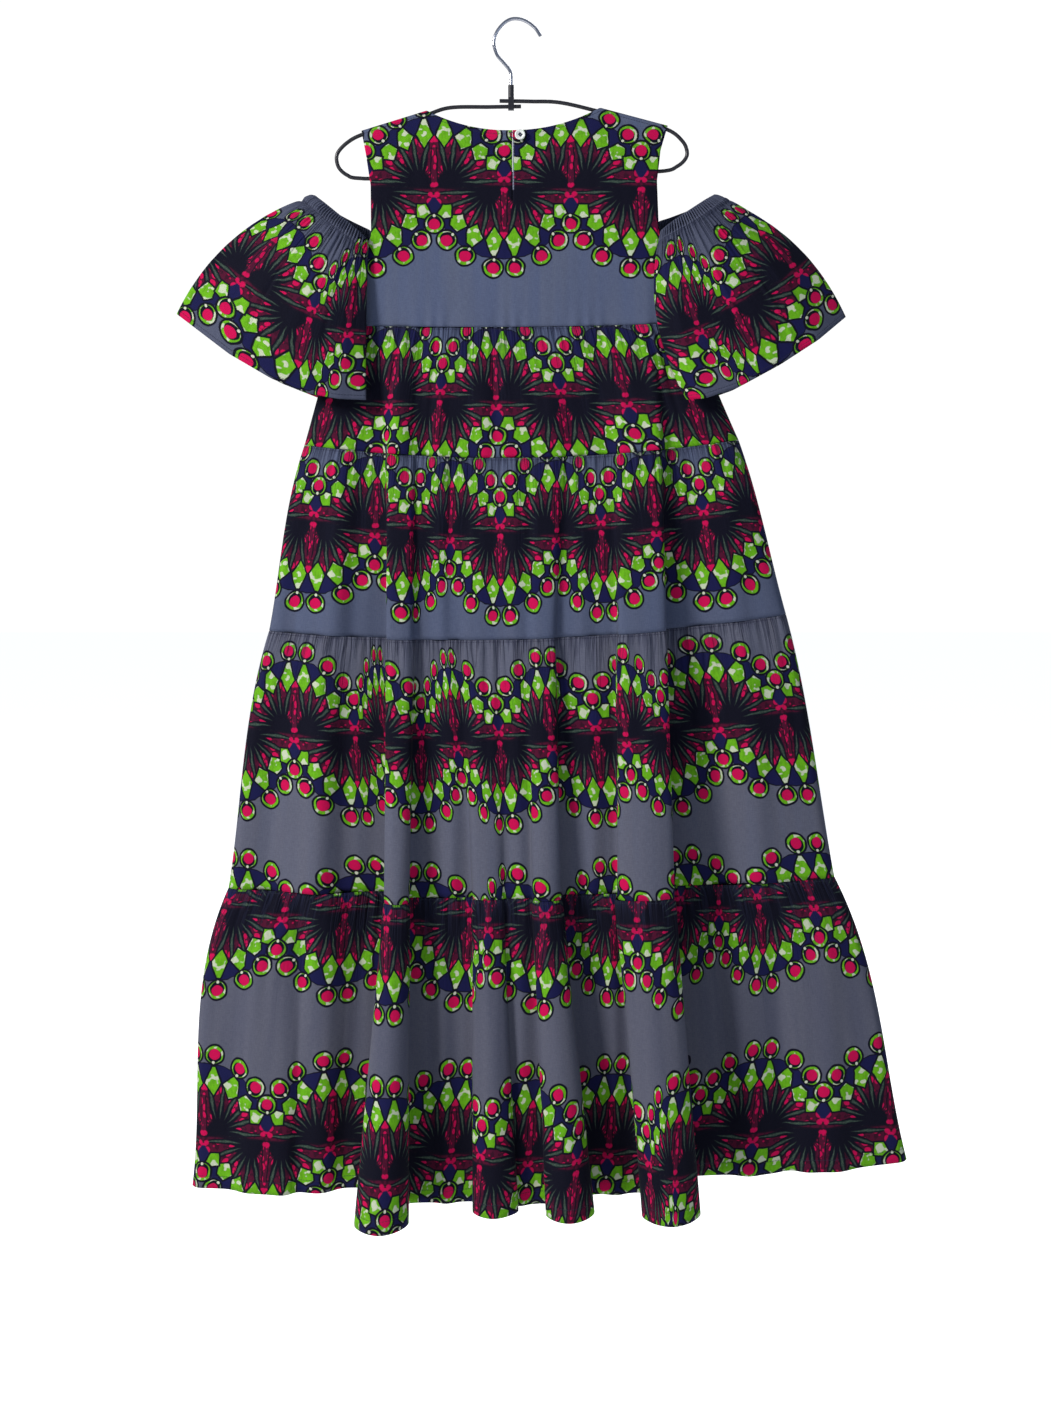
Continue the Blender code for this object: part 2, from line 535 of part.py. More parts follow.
def sleeve(name, half_round, outer_bulge, inner_bulge, material):
    """A closed round of cloth. Its inner part is sewn over the lower armhole and falls beside the dress."""
    gather_columns = SLEEVE_GATHERS * SLEEVE_COLUMNS_PER_GATHER
    rows = []
    for fall, gather in zip(SLEEVE_ROWS, SLEEVE_GATHER_DEPTH):
        near_side = []
        arch = 4 * fall * (1 - fall)
        for _, top, hem, outer_share, inner_share, _ in half_round:
            x, depth, z = [start + (end - start) * fall for start, end in zip(top, hem)]
            x += (outer_bulge[0] * outer_share + inner_bulge * inner_share) * arch
            near_side.append((x, -depth, z + outer_bulge[1] * outer_share * arch))
        far_side = []
        for index in range(len(half_round) - 2, 0, -1):
            x, y, z = near_side[index]
            flatter = FAR_SIDE_DEPTH if index > 3 else 1.0
            rise = half_round[index][5] * (1 - fall) ** 2
            far_side.append((x, -y * flatter, z + rise))
        curve = rounded_curve(near_side + far_side, closed=True, rounding=SLEEVE_ROUNDING)
        along = station_shares(curve)
        folds = (near_side[3], near_side[-1], far_side[-3])
        fold_shares = [along[int(np.argmin(np.linalg.norm(curve - np.array(fold), axis=1)))] for fold in folds]
        anchors = [0.0, *fold_shares, 1.0]
        counts = (SEWN_COLUMNS, gather_columns // 2, gather_columns // 2, SEWN_COLUMNS)
        shares = np.concatenate([
            np.linspace(start, end, count, endpoint=False)
            for start, end, count in zip(anchors, anchors[1:], counts)])
        rows.append(along_curve(curve, shares))
    grid = np.array(rows)
    normals = sheet_normals(grid, True)
    wave = np.zeros(len(shares))
    step = np.arange(gather_columns)
    fade = np.clip(np.minimum(step, gather_columns - step) / ARMHOLE_FADE, 0.0, 1.0)
    fade *= np.clip(abs(step - gather_columns / 2) / OUTER_FOLD_FADE, 0.0, 1.0)
    size = 0.75 + 0.25 * np.sin(2.1 * step)
    wave[SEWN_COLUMNS:SEWN_COLUMNS + gather_columns] = np.cos(math.pi * step) * fade * size
    grid += normals * (np.array(SLEEVE_GATHER_DEPTH)[:, None] * wave)[..., None]
    normals = sheet_normals(grid, True)
    return solid_from_sheet(name, grid + normals * WALL / 2, grid - normals * WALL / 2, material, closed=True)


def box_form(form, low, high):
    """Adds a box between two corners to a bmesh."""
    corners = bmesh.ops.create_cube(form, size=1.0)["verts"]
    for vert in corners:
        vert.co = [low[axis] + (high[axis] - low[axis]) * (vert.co[axis] + 0.5) for axis in range(3)]


def object_from_form(name, form, material):
    mesh = bpy.data.meshes.new(name)
    form.to_mesh(mesh)
    form.free()
    return wrap_object(name, mesh, material)


def cutter_from_form(name, form, material):
    piece = object_from_form(name, form, material)
    piece.hide_render = True
    piece.display_type = "WIRE"
    return piece


def add_boolean(piece, other, operation):
    modifier = piece.modifiers.new(operation.title(), "BOOLEAN")
    modifier.operation = operation
    modifier.object = other
    modifier.solver = "EXACT"


def hanger_ferrule(material):
    """A round neck that holds the hook, above a square clamp that both arms' ends pass through."""
    clamp = bmesh.new()
    half_depth = WIRE_RADIUS + SEAM_GAP + CLAMP_WALL
    box_form(clamp, (FERRULE_AT - CLAMP_HALF_WIDTH, -half_depth, CLAMP_BOTTOM),
             (FERRULE_AT + CLAMP_HALF_WIDTH, half_depth, CLAMP_TOP))
    piece = object_from_form("hanger_ferrule", clamp, material)
    neck = bmesh.new()
    neck_bottom = CLAMP_TOP - CLAMP_WALL / 2
    bmesh.ops.create_cone(
        neck, cap_ends=True, segments=16, radius1=FERRULE_RADIUS, radius2=FERRULE_RADIUS,
        depth=FERRULE_TOP - neck_bottom)
    bmesh.ops.translate(neck, verts=neck.verts, vec=(FERRULE_AT, 0.0, (FERRULE_TOP + neck_bottom) / 2))
    add_boolean(piece, cutter_from_form("ferrule_neck_guide", neck, material), "UNION")
    tunnel = bmesh.new()
    room = WIRE_RADIUS + SEAM_GAP
    box_form(tunnel, (FERRULE_AT - 2 * CLAMP_HALF_WIDTH, -room, CLAMP_BOTTOM + CLAMP_WALL),
             (FERRULE_AT + 2 * CLAMP_HALF_WIDTH, room, CLAMP_TOP - CLAMP_WALL))
    add_boolean(piece, cutter_from_form("ferrule_tunnel_cutter", tunnel, material), "DIFFERENCE")
    return piece


def button(material):
    """A sew-through button with four holes, held off the cloth by its thread shank."""
    form = bmesh.new()
    x, z = BUTTON_AT
    bmesh.ops.create_cone(
        form, cap_ends=True, segments=24, radius1=BUTTON_RADIUS, radius2=BUTTON_RADIUS * 0.94,
        depth=BUTTON_THICK)
    bmesh.ops.rotate(form, verts=form.verts, cent=(0, 0, 0), matrix=TURN_TO_VIEWER)
    bmesh.ops.translate(form, verts=form.verts, vec=(x, BUTTON_BACK - BUTTON_THICK / 2, z))
    piece = object_from_form("button", form, material)
    for index in range(4):
        angle = math.pi / 4 + index * math.pi / 2
        drill = bmesh.new()
        bmesh.ops.create_cone(
            drill, cap_ends=True, segments=8, radius1=BUTTON_HOLE_RADIUS, radius2=BUTTON_HOLE_RADIUS,
            depth=BUTTON_THICK)
        bmesh.ops.rotate(drill, verts=drill.verts, cent=(0, 0, 0), matrix=TURN_TO_VIEWER)
        bmesh.ops.translate(drill, verts=drill.verts, vec=(
            x + BUTTON_HOLE_SPREAD * math.cos(angle), BUTTON_BACK - BUTTON_THICK,
            z + BUTTON_HOLE_SPREAD * math.sin(angle)))
        add_boolean(piece, cutter_from_form(f"button_hole_cutter_{index}", drill, material), "DIFFERENCE")
    shank = bmesh.new()
    shank_back = -BUTTON_SEAT
    reach = shank_back - BUTTON_BACK + SEAM_GAP
    bmesh.ops.create_cone(
        shank, cap_ends=True, segments=12, radius1=BUTTON_SHANK_RADIUS, radius2=BUTTON_SHANK_RADIUS,
        depth=reach)
    bmesh.ops.rotate(shank, verts=shank.verts, cent=(0, 0, 0), matrix=TURN_TO_VIEWER)
    bmesh.ops.translate(shank, verts=shank.verts, vec=(x, shank_back - reach / 2, z))
    add_boolean(piece, cutter_from_form("button_shank_guide", shank, material), "UNION")
    return piece


def button_loop(material):
    """A thread loop sewn to the left of the slit, round the button's shank."""
    x, z = BUTTON_AT
    route = [(LOOP_START, LOOP_PLANE, z + LOOP_FOOT), ((LOOP_START + x) / 2, LOOP_PLANE, z + LOOP_WAIST)]
    for step in range(7):
        angle = math.pi / 2 - math.pi * step / 6
        route.append((x + LOOP_ROUND * math.cos(angle), LOOP_PLANE, z + LOOP_ROUND * math.sin(angle)))
    route += [((LOOP_START + x) / 2, LOOP_PLANE, z - LOOP_WAIST), (LOOP_START, LOOP_PLANE, z - LOOP_FOOT)]
    return wire("button_loop", route, LOOP_RADIUS, material, 1)


TURN_TO_VIEWER = Matrix.Rotation(math.radians(90.0), 3, "X")

print_cloth = cloth_material("printed cotton", (0.16, 0.12, 0.20))
plain_cloth = cloth_material("printed cotton, slate ground", (0.14, 0.15, 0.21))
black_coat = make_material("black coating", (0.012, 0.011, 0.014), 0.4)
chrome = make_material("chrome", (0.80, 0.80, 0.82), 0.12, metallic=1.0)
pearl = make_material("pearly plastic", (0.80, 0.80, 0.76), 0.25)
thread = make_material("thread", (0.03, 0.03, 0.06), 0.8)

pieces = [
    bodice_panel("bodice_back", -1, BACK_NECK_DROP, True, plain_cloth),
    bodice_panel("bodice_front", 1, FRONT_NECK_DROP, False, plain_cloth),
]
for tier in range(4):
    pieces.append(tier_panel(f"tier_{tier + 1}_back", tier, BACK_LOBES, BACK_TUCK, -1, print_cloth))
    pieces.append(tier_panel(f"tier_{tier + 1}_front", tier, FRONT_LOBES, FRONT_TUCK, 1, print_cloth))
pieces += [
    sleeve("sleeve_left", LEFT_SLEEVE, LEFT_OUTER_BULGE, LEFT_INNER_BULGE, print_cloth),
    sleeve("sleeve_right", RIGHT_SLEEVE, RIGHT_OUTER_BULGE, RIGHT_INNER_BULGE, print_cloth),
    wire_in_plane("hanger_wire", WIRE_ROUTE, WIRE_RADIUS, black_coat),
    wire_in_plane("hanger_hook", HOOK_ROUTE, HOOK_RADIUS, chrome),
    hanger_ferrule(black_coat),
    button(pearl),
    button_loop(thread),
]

# The whole part hangs from the inside top of the hook
hanging_point = bpy.data.objects.new("hanging_point", None)
bpy.context.scene.collection.objects.link(hanging_point)
hanging_point.location = (-HOOK_INSIDE_TOP[0], 0.0, -HOOK_INSIDE_TOP[1])
for piece in list(bpy.context.scene.collection.objects):
    if piece is not hanging_point:
        piece.parent = hanging_point
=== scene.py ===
"""The looks of a tiered cold-shoulder dress on a wire hanger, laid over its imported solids."""

import math

import bmesh
import bpy
import numpy as np
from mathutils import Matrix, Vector


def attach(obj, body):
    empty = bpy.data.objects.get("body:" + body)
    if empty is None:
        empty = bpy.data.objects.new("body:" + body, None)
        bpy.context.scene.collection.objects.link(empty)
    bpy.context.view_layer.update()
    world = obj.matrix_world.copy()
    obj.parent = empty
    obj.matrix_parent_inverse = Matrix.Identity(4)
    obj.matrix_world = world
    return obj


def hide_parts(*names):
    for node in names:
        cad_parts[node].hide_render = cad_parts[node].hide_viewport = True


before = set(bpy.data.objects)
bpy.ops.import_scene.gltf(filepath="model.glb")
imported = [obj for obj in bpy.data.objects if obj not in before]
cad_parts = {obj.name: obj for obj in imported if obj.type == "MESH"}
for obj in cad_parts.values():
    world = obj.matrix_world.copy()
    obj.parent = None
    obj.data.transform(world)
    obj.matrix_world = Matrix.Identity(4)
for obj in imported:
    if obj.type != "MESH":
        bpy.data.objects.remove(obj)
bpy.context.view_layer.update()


class Result:
    """A value that a node tree works out. Arithmetic on it adds one more step to the tree."""

    def __init__(self, socket):
        self.socket = socket

    def __add__(self, other):
        return worked_out("ADD", self, other)

    def __sub__(self, other):
        return worked_out("SUBTRACT", self, other)

    def __rsub__(self, other):
        return worked_out("SUBTRACT", other, self)

    def __mul__(self, other):
        return worked_out("MULTIPLY", self, other)

    def __truediv__(self, other):
        return worked_out("DIVIDE", self, other)

    def __abs__(self):
        return worked_out("ABSOLUTE", self)


def feed(socket, value):
    """Sets a socket to a number or a colour, or links it to a result."""
    if isinstance(value, Result):
        socket.id_data.links.new(value.socket, socket)
    elif isinstance(value, tuple):
        socket.default_value = (*value, 1.0)
    else:
        socket.default_value = value


def fed(node, **inputs):
    """Feeds a node's inputs by their names, with an underscore for each space."""
    for name, value in inputs.items():
        feed(node.inputs[name.replace("_", " ")], value)
    return node


def added(tree, kind, output, **inputs):
    """Adds a node to the tree, feeds its inputs and gives one of its outputs."""
    return Result(fed(tree.nodes.new(f"ShaderNode{kind}"), **inputs).outputs[output])


def worked_out(operation, *inputs, held=False):
    """One step of arithmetic. Each input is a number or a result."""
    tree = next(value.socket.id_data for value in inputs if isinstance(value, Result))
    step = tree.nodes.new("ShaderNodeMath")
    step.operation = operation
    step.use_clamp = held
    for socket, value in zip(step.inputs, inputs):
        feed(socket, value)
    return Result(step.outputs[0])


def painted(mask, below, above):
    """Paints the colour above over the one below, where the mask is."""
    mix = mask.socket.id_data.nodes.new("ShaderNodeMix")
    mix.data_type = "RGBA"
    colours = [socket for socket in mix.inputs if socket.type == "RGBA"]
    feed(mix.inputs[0], mask)
    feed(colours[0], below)
    feed(colours[1], above)
    return Result([socket for socket in mix.outputs if socket.type == "RGBA"][0])


def speckled_finish(name, fineness, dark, light, rough, rougher, metallic=0.0):
    """A finish whose colour and roughness vary finely from place to place."""
    finish = bpy.data.materials.new(name)
    finish.use_nodes = True
    tree = finish.node_tree
    place = added(tree, "TexCoord", "Object")
    speckle = added(tree, "TexNoise", "Fac", Scale=fineness, Vector=place)
    fed(tree.nodes["Principled BSDF"], Base_Color=painted(speckle, dark, light),
        Roughness=speckle * rougher + rough, Metallic=metallic)
    return finish


def in_scene(name, data):
    """Puts a mesh, a curve, a lamp or a camera into the scene."""
    thing = bpy.data.objects.new(name, data)
    bpy.context.scene.collection.objects.link(thing)
    return thing


def formed(name, form, finish):
    """Turns a bmesh into a smooth piece with one finish."""
    mesh = bpy.data.meshes.new(name)
    form.to_mesh(mesh)
    form.free()
    mesh.shade_smooth()
    mesh.materials.append(finish)
    return in_scene(name, mesh)


# The room: a plain pale floor well below the hem, soft studio light from the upper left,
# and a camera two metres in front of the dress's back, level with its waist.
FLOOR_HEIGHT = -1.78
FLOOR_REACH = 14.0
FLOOR_GLOW = 0.78
ROOM_LIGHT = 0.28
ROOM_SEEN = 1.05
WHITE = (1.0, 1.0, 1.0)
EYE = (0.0106, -2.0, -0.5563)
SENSOR = 24.0
# The picture's height in metres at the dress, and how far its middle is from the eye's height
PICTURE_TALL = 1.6263
PICTURE_SHIFT = -201.0 / 1402.0

floor_paint = bpy.data.materials.new("pale floor")
floor_paint.use_nodes = True
floor_seen = added(floor_paint.node_tree, "LightPath", "Is Camera Ray")
fed(floor_paint.node_tree.nodes["Principled BSDF"], Base_Color=(0.93, 0.93, 0.93), Roughness=0.9,
    Emission_Color=WHITE, Emission_Strength=floor_seen * FLOOR_GLOW)
floor_form = bmesh.new()
bmesh.ops.create_grid(floor_form, x_segments=2, y_segments=2, size=FLOOR_REACH)
bmesh.ops.translate(floor_form, verts=floor_form.verts, vec=(0.0, 0.0, FLOOR_HEIGHT))
studio_floor = formed("studio_floor", floor_form, floor_paint)


def soft_light(name, place, aim, width, power, tint):
    lamp = bpy.data.lights.new(name, "AREA")
    lamp.shape = "SQUARE"
    lamp.size = width
    lamp.energy = power
    lamp.color = tint
    stand = in_scene(name, lamp)
    stand.location = place
    stand.rotation_euler = (Vector(aim) - Vector(place)).to_track_quat("-Z", "Y").to_euler()


soft_light("key light", (-3.0, -2.5, 1.2), (0.0, 0.0, -0.6), 1.0, 182.0, (1.0, 0.965, 0.92))
soft_light("fill light", (2.4, -3.2, -0.2), (0.0, 0.0, -0.7), 2.4, 13.0, (0.7, 0.82, 1.0))
soft_light("far side light", (1.2, 3.2, 0.9), (0.0, 0.0, -0.7), 2.0, 60.0, WHITE)

white_room = bpy.data.worlds.new("white room")
bpy.context.scene.world = white_room
white_room.use_nodes = True
room_tree = white_room.node_tree
room_light = fed(room_tree.nodes["Background"], Color=(0.74, 0.84, 1.0), Strength=ROOM_LIGHT)
room_seen = added(room_tree, "Background", "Background", Color=WHITE, Strength=ROOM_SEEN)
room_mix = room_tree.nodes.new("ShaderNodeMixShader")
feed(room_mix.inputs["Fac"], added(room_tree, "LightPath", "Is Camera Ray"))
feed(room_mix.inputs[1], Result(room_light.outputs["Background"]))
feed(room_mix.inputs[2], room_seen)
feed(room_tree.nodes["World Output"].inputs["Surface"], Result(room_mix.outputs["Shader"]))
bpy.context.scene.view_settings.view_transform = "Standard"

photo_camera = bpy.data.cameras.new("camera")
photo_camera.sensor_fit = "VERTICAL"
photo_camera.sensor_height = SENSOR
photo_camera.lens = SENSOR * abs(EYE[1]) / PICTURE_TALL
photo_camera.shift_y = PICTURE_SHIFT
camera_stand = in_scene("camera", photo_camera)
camera_stand.location = EYE
camera_stand.rotation_euler = (math.radians(90.0), 0.0, 0.0)
bpy.context.scene.camera = camera_stand


# The cloth: plain-weave cotton printed on both faces in the common wax-print manner, with bands of
# fans, kites and ringed discs on a slate ground. It is drawn here from circles, rays and kites.
MM = 1000.0
REPEAT = 0.158
BAND_PITCH = 0.24
# How far a band's drawing goes above and below its middle
BAND_REACH = 0.109
SLATE = (0.098, 0.122, 0.204)
WARM_SLATE = (0.128, 0.132, 0.172)
GREEN = (0.14, 0.44, 0.008)
DEEP_GREEN = (0.06, 0.2, 0.004)
CREAM = (0.6, 0.64, 0.5)
CRIMSON = (0.56, 0.001, 0.074)
BURGUNDY = (0.074, 0.003, 0.022)
DUSKY_BURGUNDY = (0.026, 0.002, 0.012)
NAVY = (0.007, 0.008, 0.058)
OUTLINE = (0.002, 0.0022, 0.0085)
RAY_GREEN = (0.046, 0.078, 0.058)
RAY_SHADE = (0.018, 0.034, 0.027)
RAY_STREAK = (0.1, 0.15, 0.115)
SLUB_SHADE = (0.018, 0.024, 0.062)
SPECKLE_SHADE = (0.02, 0.02, 0.035)
STITCH_THREAD = (0.02, 0.022, 0.045)
TURNED_EDGE = (0.17, 0.19, 0.26)
# Painted shade for the crease valleys beside the seams
PAINTED_CREASE_SHADE = (0.016, 0.019, 0.045)
# The drawing in millimetres, from the middle of a fan outwards and from the middle of a band up
CROWN = ((0, 82.5), (24, 79.5), (36, 74), (50.6, 66), (66, 50), (72, 36), (79.5, 34))
FIELD = ((0, 60), (21, 58), (43, 47.5), (59.5, 34), (72, 25), (79.5, 24))
FAN_HUB = (17.0, 5.0)
RAY_TURN = 20.0
SHIELD = ((70.5, 20.0), (77.0, 11.5), (88.0, 11.5), (88.0, 36.0), (72.5, 36.0))
KITES = (
    ((11.5, 46.6), (20.6, 61.0), (13.5, 79.0), (10.0, 79.0), (2.2, 60.5)),
    ((30.2, 43.5), (41.0, 48.1), (41.9, 63.4), (36.3, 68.5), (24.3, 58.8)),
    ((46.5, 31.6), (58.4, 32.6), (60.2, 43.6), (53.0, 50.2), (42.8, 44.4)),
    ((60.0, 20.2), (69.1, 20.2), (74.3, 30.2), (67.5, 35.6), (59.4, 34.2)))
# Middle of each disc, and the way outwards from the fan there
DISCS = ((12.9, 93.2, 0.1, 1.0), (43.8, 79.3, 0.45, 0.89), (64.6, 61.0, 0.66, 0.75), (79.0, 42.0, 0.0, 1.0))


def ramp(value, slope, start):
    """A straight ramp, held between 0 and 1."""
    return worked_out("MULTIPLY_ADD", value, slope, start, held=True)


def inside(distance, edge, softness=0.6):
    """1 where distance is under edge and 0 beyond, over a soft border."""
    return ramp(edge - distance, 1.0 / softness, 0.5)


def parts(vector):
    """The three parts of a vector."""
    split = fed(vector.socket.id_data.nodes.new("ShaderNodeSeparateXYZ"), Vector=vector)
    return [Result(output) for output in split.outputs]


def drawn_line(across, points):
    """Height of a broken line at a place across, for an outline drawn from corner to corner."""
    width = points[-1][0]
    tall = max(height for _, height in points)
    curve = across.socket.id_data.nodes.new("ShaderNodeFloatCurve")
    line = curve.mapping.curves[0]
    for _ in range(len(points) - 2):
        line.points.new(0.5, 0.5)
    for point, (place, height) in zip(line.points, points):
        point.location = (place / width, height / tall)
        point.handle_type = "VECTOR"
    curve.mapping.update()
    return Result(fed(curve, Value=across / width).outputs["Value"]) * tall


def blotches(along, across, scale, low, high, detail=1.0):
    """Soft irregular patches, stretched by giving the two ways different rates."""
    tree = along.socket.id_data
    place = added(tree, "CombineXYZ", 0, X=along, Y=across)
    noise = added(tree, "TexNoise", "Fac", Scale=scale, Detail=detail, Vector=place)
    spread = tree.nodes.new("ShaderNodeMapRange")
    spread.interpolation_type = "SMOOTHSTEP"
    return Result(fed(spread, From_Min=low, From_Max=high, Value=noise).outputs[0])


def beads(along, across, size, fullness):
    """Round and oval blots, one in most cells of a loose net, of uneven size."""
    tree = along.socket.id_data
    place = added(tree, "CombineXYZ", 0, X=along, Y=across)
    net = fed(tree.nodes.new("ShaderNodeTexVoronoi"), Scale=1.0 / size, Vector=place)
    chance = added(tree, "SeparateColor", 0, Color=Result(net.outputs["Color"]))
    return inside(Result(net.outputs["Distance"]), chance * 0.55 + (fullness - 0.3), 0.14)


def from_point(x, y, place_x, place_y):
    """Distance from a fixed point of the drawing."""
    dx = x - place_x
    dy = y - place_y
    return worked_out("SQRT", dx * dx + dy * dy)


def from_edge(x, y, corners):
    """Distance from the edge of a form with straight sides, below 0 inside it."""
    middle_x = sum(corner[0] for corner in corners) / len(corners)
    middle_y = sum(corner[1] for corner in corners) / len(corners)
    result = None
    for start, end in zip(corners, corners[1:] + corners[:1]):
        normal = Vector((end[1] - start[1], start[0] - end[0])).normalized()
        reach = normal.x * start[0] + normal.y * start[1]
        if normal.x * middle_x + normal.y * middle_y > reach:
            normal = -normal
            reach = -reach
        side = x * normal.x + y * normal.y - reach
        result = side if result is None else worked_out("MAXIMUM", result, side)
    return result


def new_group(name, inputs, outputs):
    """Starts a node group. Gives its inputs by name, and the node that takes its outputs."""
    tree = bpy.data.node_groups.new(name, "ShaderNodeTree")
    for way, sockets in (("INPUT", inputs), ("OUTPUT", outputs)):
        for title, kind in sockets.items():
            tree.interface.new_socket(title, in_out=way, socket_type=f"NodeSocket{kind}")
    given = tree.nodes.new("NodeGroupInput")
    return {title: Result(given.outputs[title]) for title in inputs}, tree.nodes.new("NodeGroupOutput")


def print_group():
    """The print's colour at a place on the cloth, given in metres across and up from a band's middle."""
    given, result = new_group(
        "fan and disc print", {"Place on cloth": "Vector", "Ground": "Color"}, {"Colour": "Color"})
    across, up, _ = parts(given["Place on cloth"])
    u = across * MM - 1.2 + blotches(across, up, 70.0, 0.0, 1.0) * 2.4
    v = up * MM - 1.2 + blotches(up, across, 60.0, 0.0, 1.0) * 2.4
    half_repeat = REPEAT * MM / 2
    band = worked_out("ROUND", v / (BAND_PITCH * MM))
    height = v - band * (BAND_PITCH * MM)
    down = worked_out("LESS_THAN", height, 0.0)
    x = worked_out("WRAP", u + (band + down) * half_repeat, half_repeat, -half_repeat)
    ax = abs(x)
    y = abs(height)

    # Navy crown behind the kites and discs, and the fan's burgundy field with its crimson blots
    crown = drawn_line(ax, CROWN)
    field = drawn_line(ax, FIELD)
    colour = painted(inside(y, crown + 1.2), given["Ground"], OUTLINE)
    colour = painted(inside(y, crown), colour, NAVY)
    far = from_point(ax, y, *FAN_HUB)
    lean = worked_out("ARCTAN2", ax - FAN_HUB[0], y - FAN_HUB[1]) * math.degrees(1.0)
    across_wedge = lean * 0.62
    dusky = blotches(across_wedge, far, 0.14, 0.46, 0.58, 2.0)
    blots = beads(across_wedge, far * 0.62, 5.0, 0.37) * ramp(y, 0.35, -1.2)
    fan_colour = painted(dusky * 0.8, BURGUNDY, DUSKY_BURGUNDY)
    fan_colour = painted(blots, fan_colour, CRIMSON)
    colour = painted(inside(y, field), colour, fan_colour)

    # Rays: seven thin lenses a fan, each in a black outline that widens towards the hub
    place = lean * (1.0 / RAY_TURN) + 0.6
    nearest = worked_out("MAXIMUM", worked_out("ROUND", place), 0.0)
    off = abs(place - nearest) * math.radians(RAY_TURN) * far
    rise = ramp(far, 1.0 / 26.0, -12.0 / 26.0)
    fall = ramp(far, -1.0 / 24.0, 61.0 / 24.0)
    plump = worked_out("MINIMUM", rise, fall) * 1.75
    rim = worked_out("MAXIMUM", far * -0.115 + 5.9, 1.5) + plump
    spine = inside(y, ax * -0.075 + 7.2, 1.8)
    colour = painted(spine * 0.95, colour, OUTLINE)
    reach = inside(far, 63.0) * inside(y, field + 1.5)
    colour = painted(inside(off, rim) * reach, colour, OUTLINE)
    grain = blotches(off * 1.6, far, 0.35, 0.3, 0.65)
    ray_colour = painted(grain, RAY_GREEN, RAY_SHADE)
    ray_colour = painted(inside(off, 0.1, 1.6) * 0.55, ray_colour, RAY_STREAK)
    colour = painted(inside(off, plump, 0.8) * ramp(far, 0.12, -1.6) * reach, colour, ray_colour)
    colour = painted(inside(far, 14.5, 4.0), colour, OUTLINE)

    # The column between the two halves of a fan, with its crimson heart
    column_edge = y * -0.03 + 3.6
    up_to_kites = inside(y, 46.0)
    colour = painted(inside(ax, column_edge + 1.5) * up_to_kites, colour, OUTLINE)
    drops = beads(x + 31.7, height * 0.55, 4.2, 0.34)
    column_colour = painted(drops, BURGUNDY, CRIMSON)
    colour = painted(inside(ax, column_edge) * up_to_kites, colour, column_colour)
    colour = painted(inside(from_point(ax, y, 1.8, 3.0), 2.4, 1.2), colour, CRIMSON)
    colour = painted(inside(from_point(ax, y, 75.0, 8.0), 2.8, 1.5), colour, CRIMSON)

    # The navy shield in the valley between two fans
    colour = painted(inside(from_edge(ax, y, SHIELD), 0.0, 1.0), colour, NAVY)

    # Kites: green with cream mottling, in a black outline
    mottle = blotches(x, y, 0.13, 0.54, 0.6, 0.6)
    vein = blotches(x, y * 0.4, 0.3, 0.4, 0.75, 2.0)
    leaf = painted(vein * 0.45, GREEN, DEEP_GREEN)
    leaf = painted(mottle * 0.88, leaf, CREAM)
    for corners in KITES:
        edge = from_edge(ax, y, corners)
        colour = painted(inside(edge, 2.1, 0.7), colour, OUTLINE)
        colour = painted(inside(edge, 0.0, 0.7), colour, leaf)

    # Discs, ring by ring: how far out the ring's middle is, its radius, its softness and its colour
    rings = (
        (0.0, 12.7, 0.8, OUTLINE), (0.0, 10.2, 0.7, leaf), (-1.5, 8.4, 0.7, OUTLINE),
        (0.5, 6.4, 0.7, CRIMSON), (-9.3, 2.6, 0.6, OUTLINE), (-9.3, 1.7, 0.6, CREAM))
    for place_x, place_y, out_x, out_y in DISCS:
        for out, radius, softness, ring_colour in rings:
            away = from_point(ax, y, place_x + out * out_x, place_y + out * out_y)
            colour = painted(inside(away, radius, softness), colour, ring_colour)
    feed(result.inputs["Colour"], colour)
    return result.id_data


def sewing_group():
    """Topstitching, pulled creases and painted shade in the creases beside seams, from distances in metres
    on the cloth.
    """
    given, result = new_group(
        "stitches, creases and painted shade",
        {"Across, below, above": "Vector", "Line below": "Float", "Line above": "Float", "Pull": "Float"},
        {"Stitch": "Float", "Crease height": "Float", "Painted crease shade": "Float"})
    across, below, above = [part * MM for part in parts(given["Across, below, above"])]
    pull = given["Pull"]
    dash = inside(abs(worked_out("WRAP", across, 1.5, -1.5)), 1.1, 0.5)
    first = inside(abs(below - given["Line below"]), 0.35, 0.4)
    second = inside(abs(above - given["Line above"]), 0.35, 0.4)
    stitch = worked_out("MAXIMUM", first, second) * dash
    fine = blotches(across * 0.15, below * 0.01, 1.0, 0.25, 0.75, 2.0)
    bunch = blotches(across * 0.055, pull, 1.0, 0.4, 0.62)
    soft = blotches(across * 0.06, below * 0.006, 1.0, 0.2, 0.8)
    near = worked_out("MINIMUM", worked_out("EXPONENT", below * (-1.0 / 22.0)), 1.0) * pull
    pinch = inside(abs(fine - 0.5), 0.12, 0.24)
    run = bunch * 38.0 + 9.0
    farther = worked_out("MINIMUM", worked_out("EXPONENT", below / (run * -1.0)), 1.0)
    # Painted shade: the pinched crease lines are darkened, most near the seam; the same mask also sinks the
    # crease relief
    shade = pinch * farther * ramp(below, 1.0 / 3.0, 2.0 / 3.0) * pull * 0.75
    feed(result.inputs["Stitch"], stitch)
    feed(result.inputs["Painted crease shade"], shade)
    feed(result.inputs["Crease height"], fine * near * 1.3 - shade * 1.2 + soft * 0.35 - stitch * 0.25)
    return result.id_data


fan_print = print_group()
sewing = sewing_group()


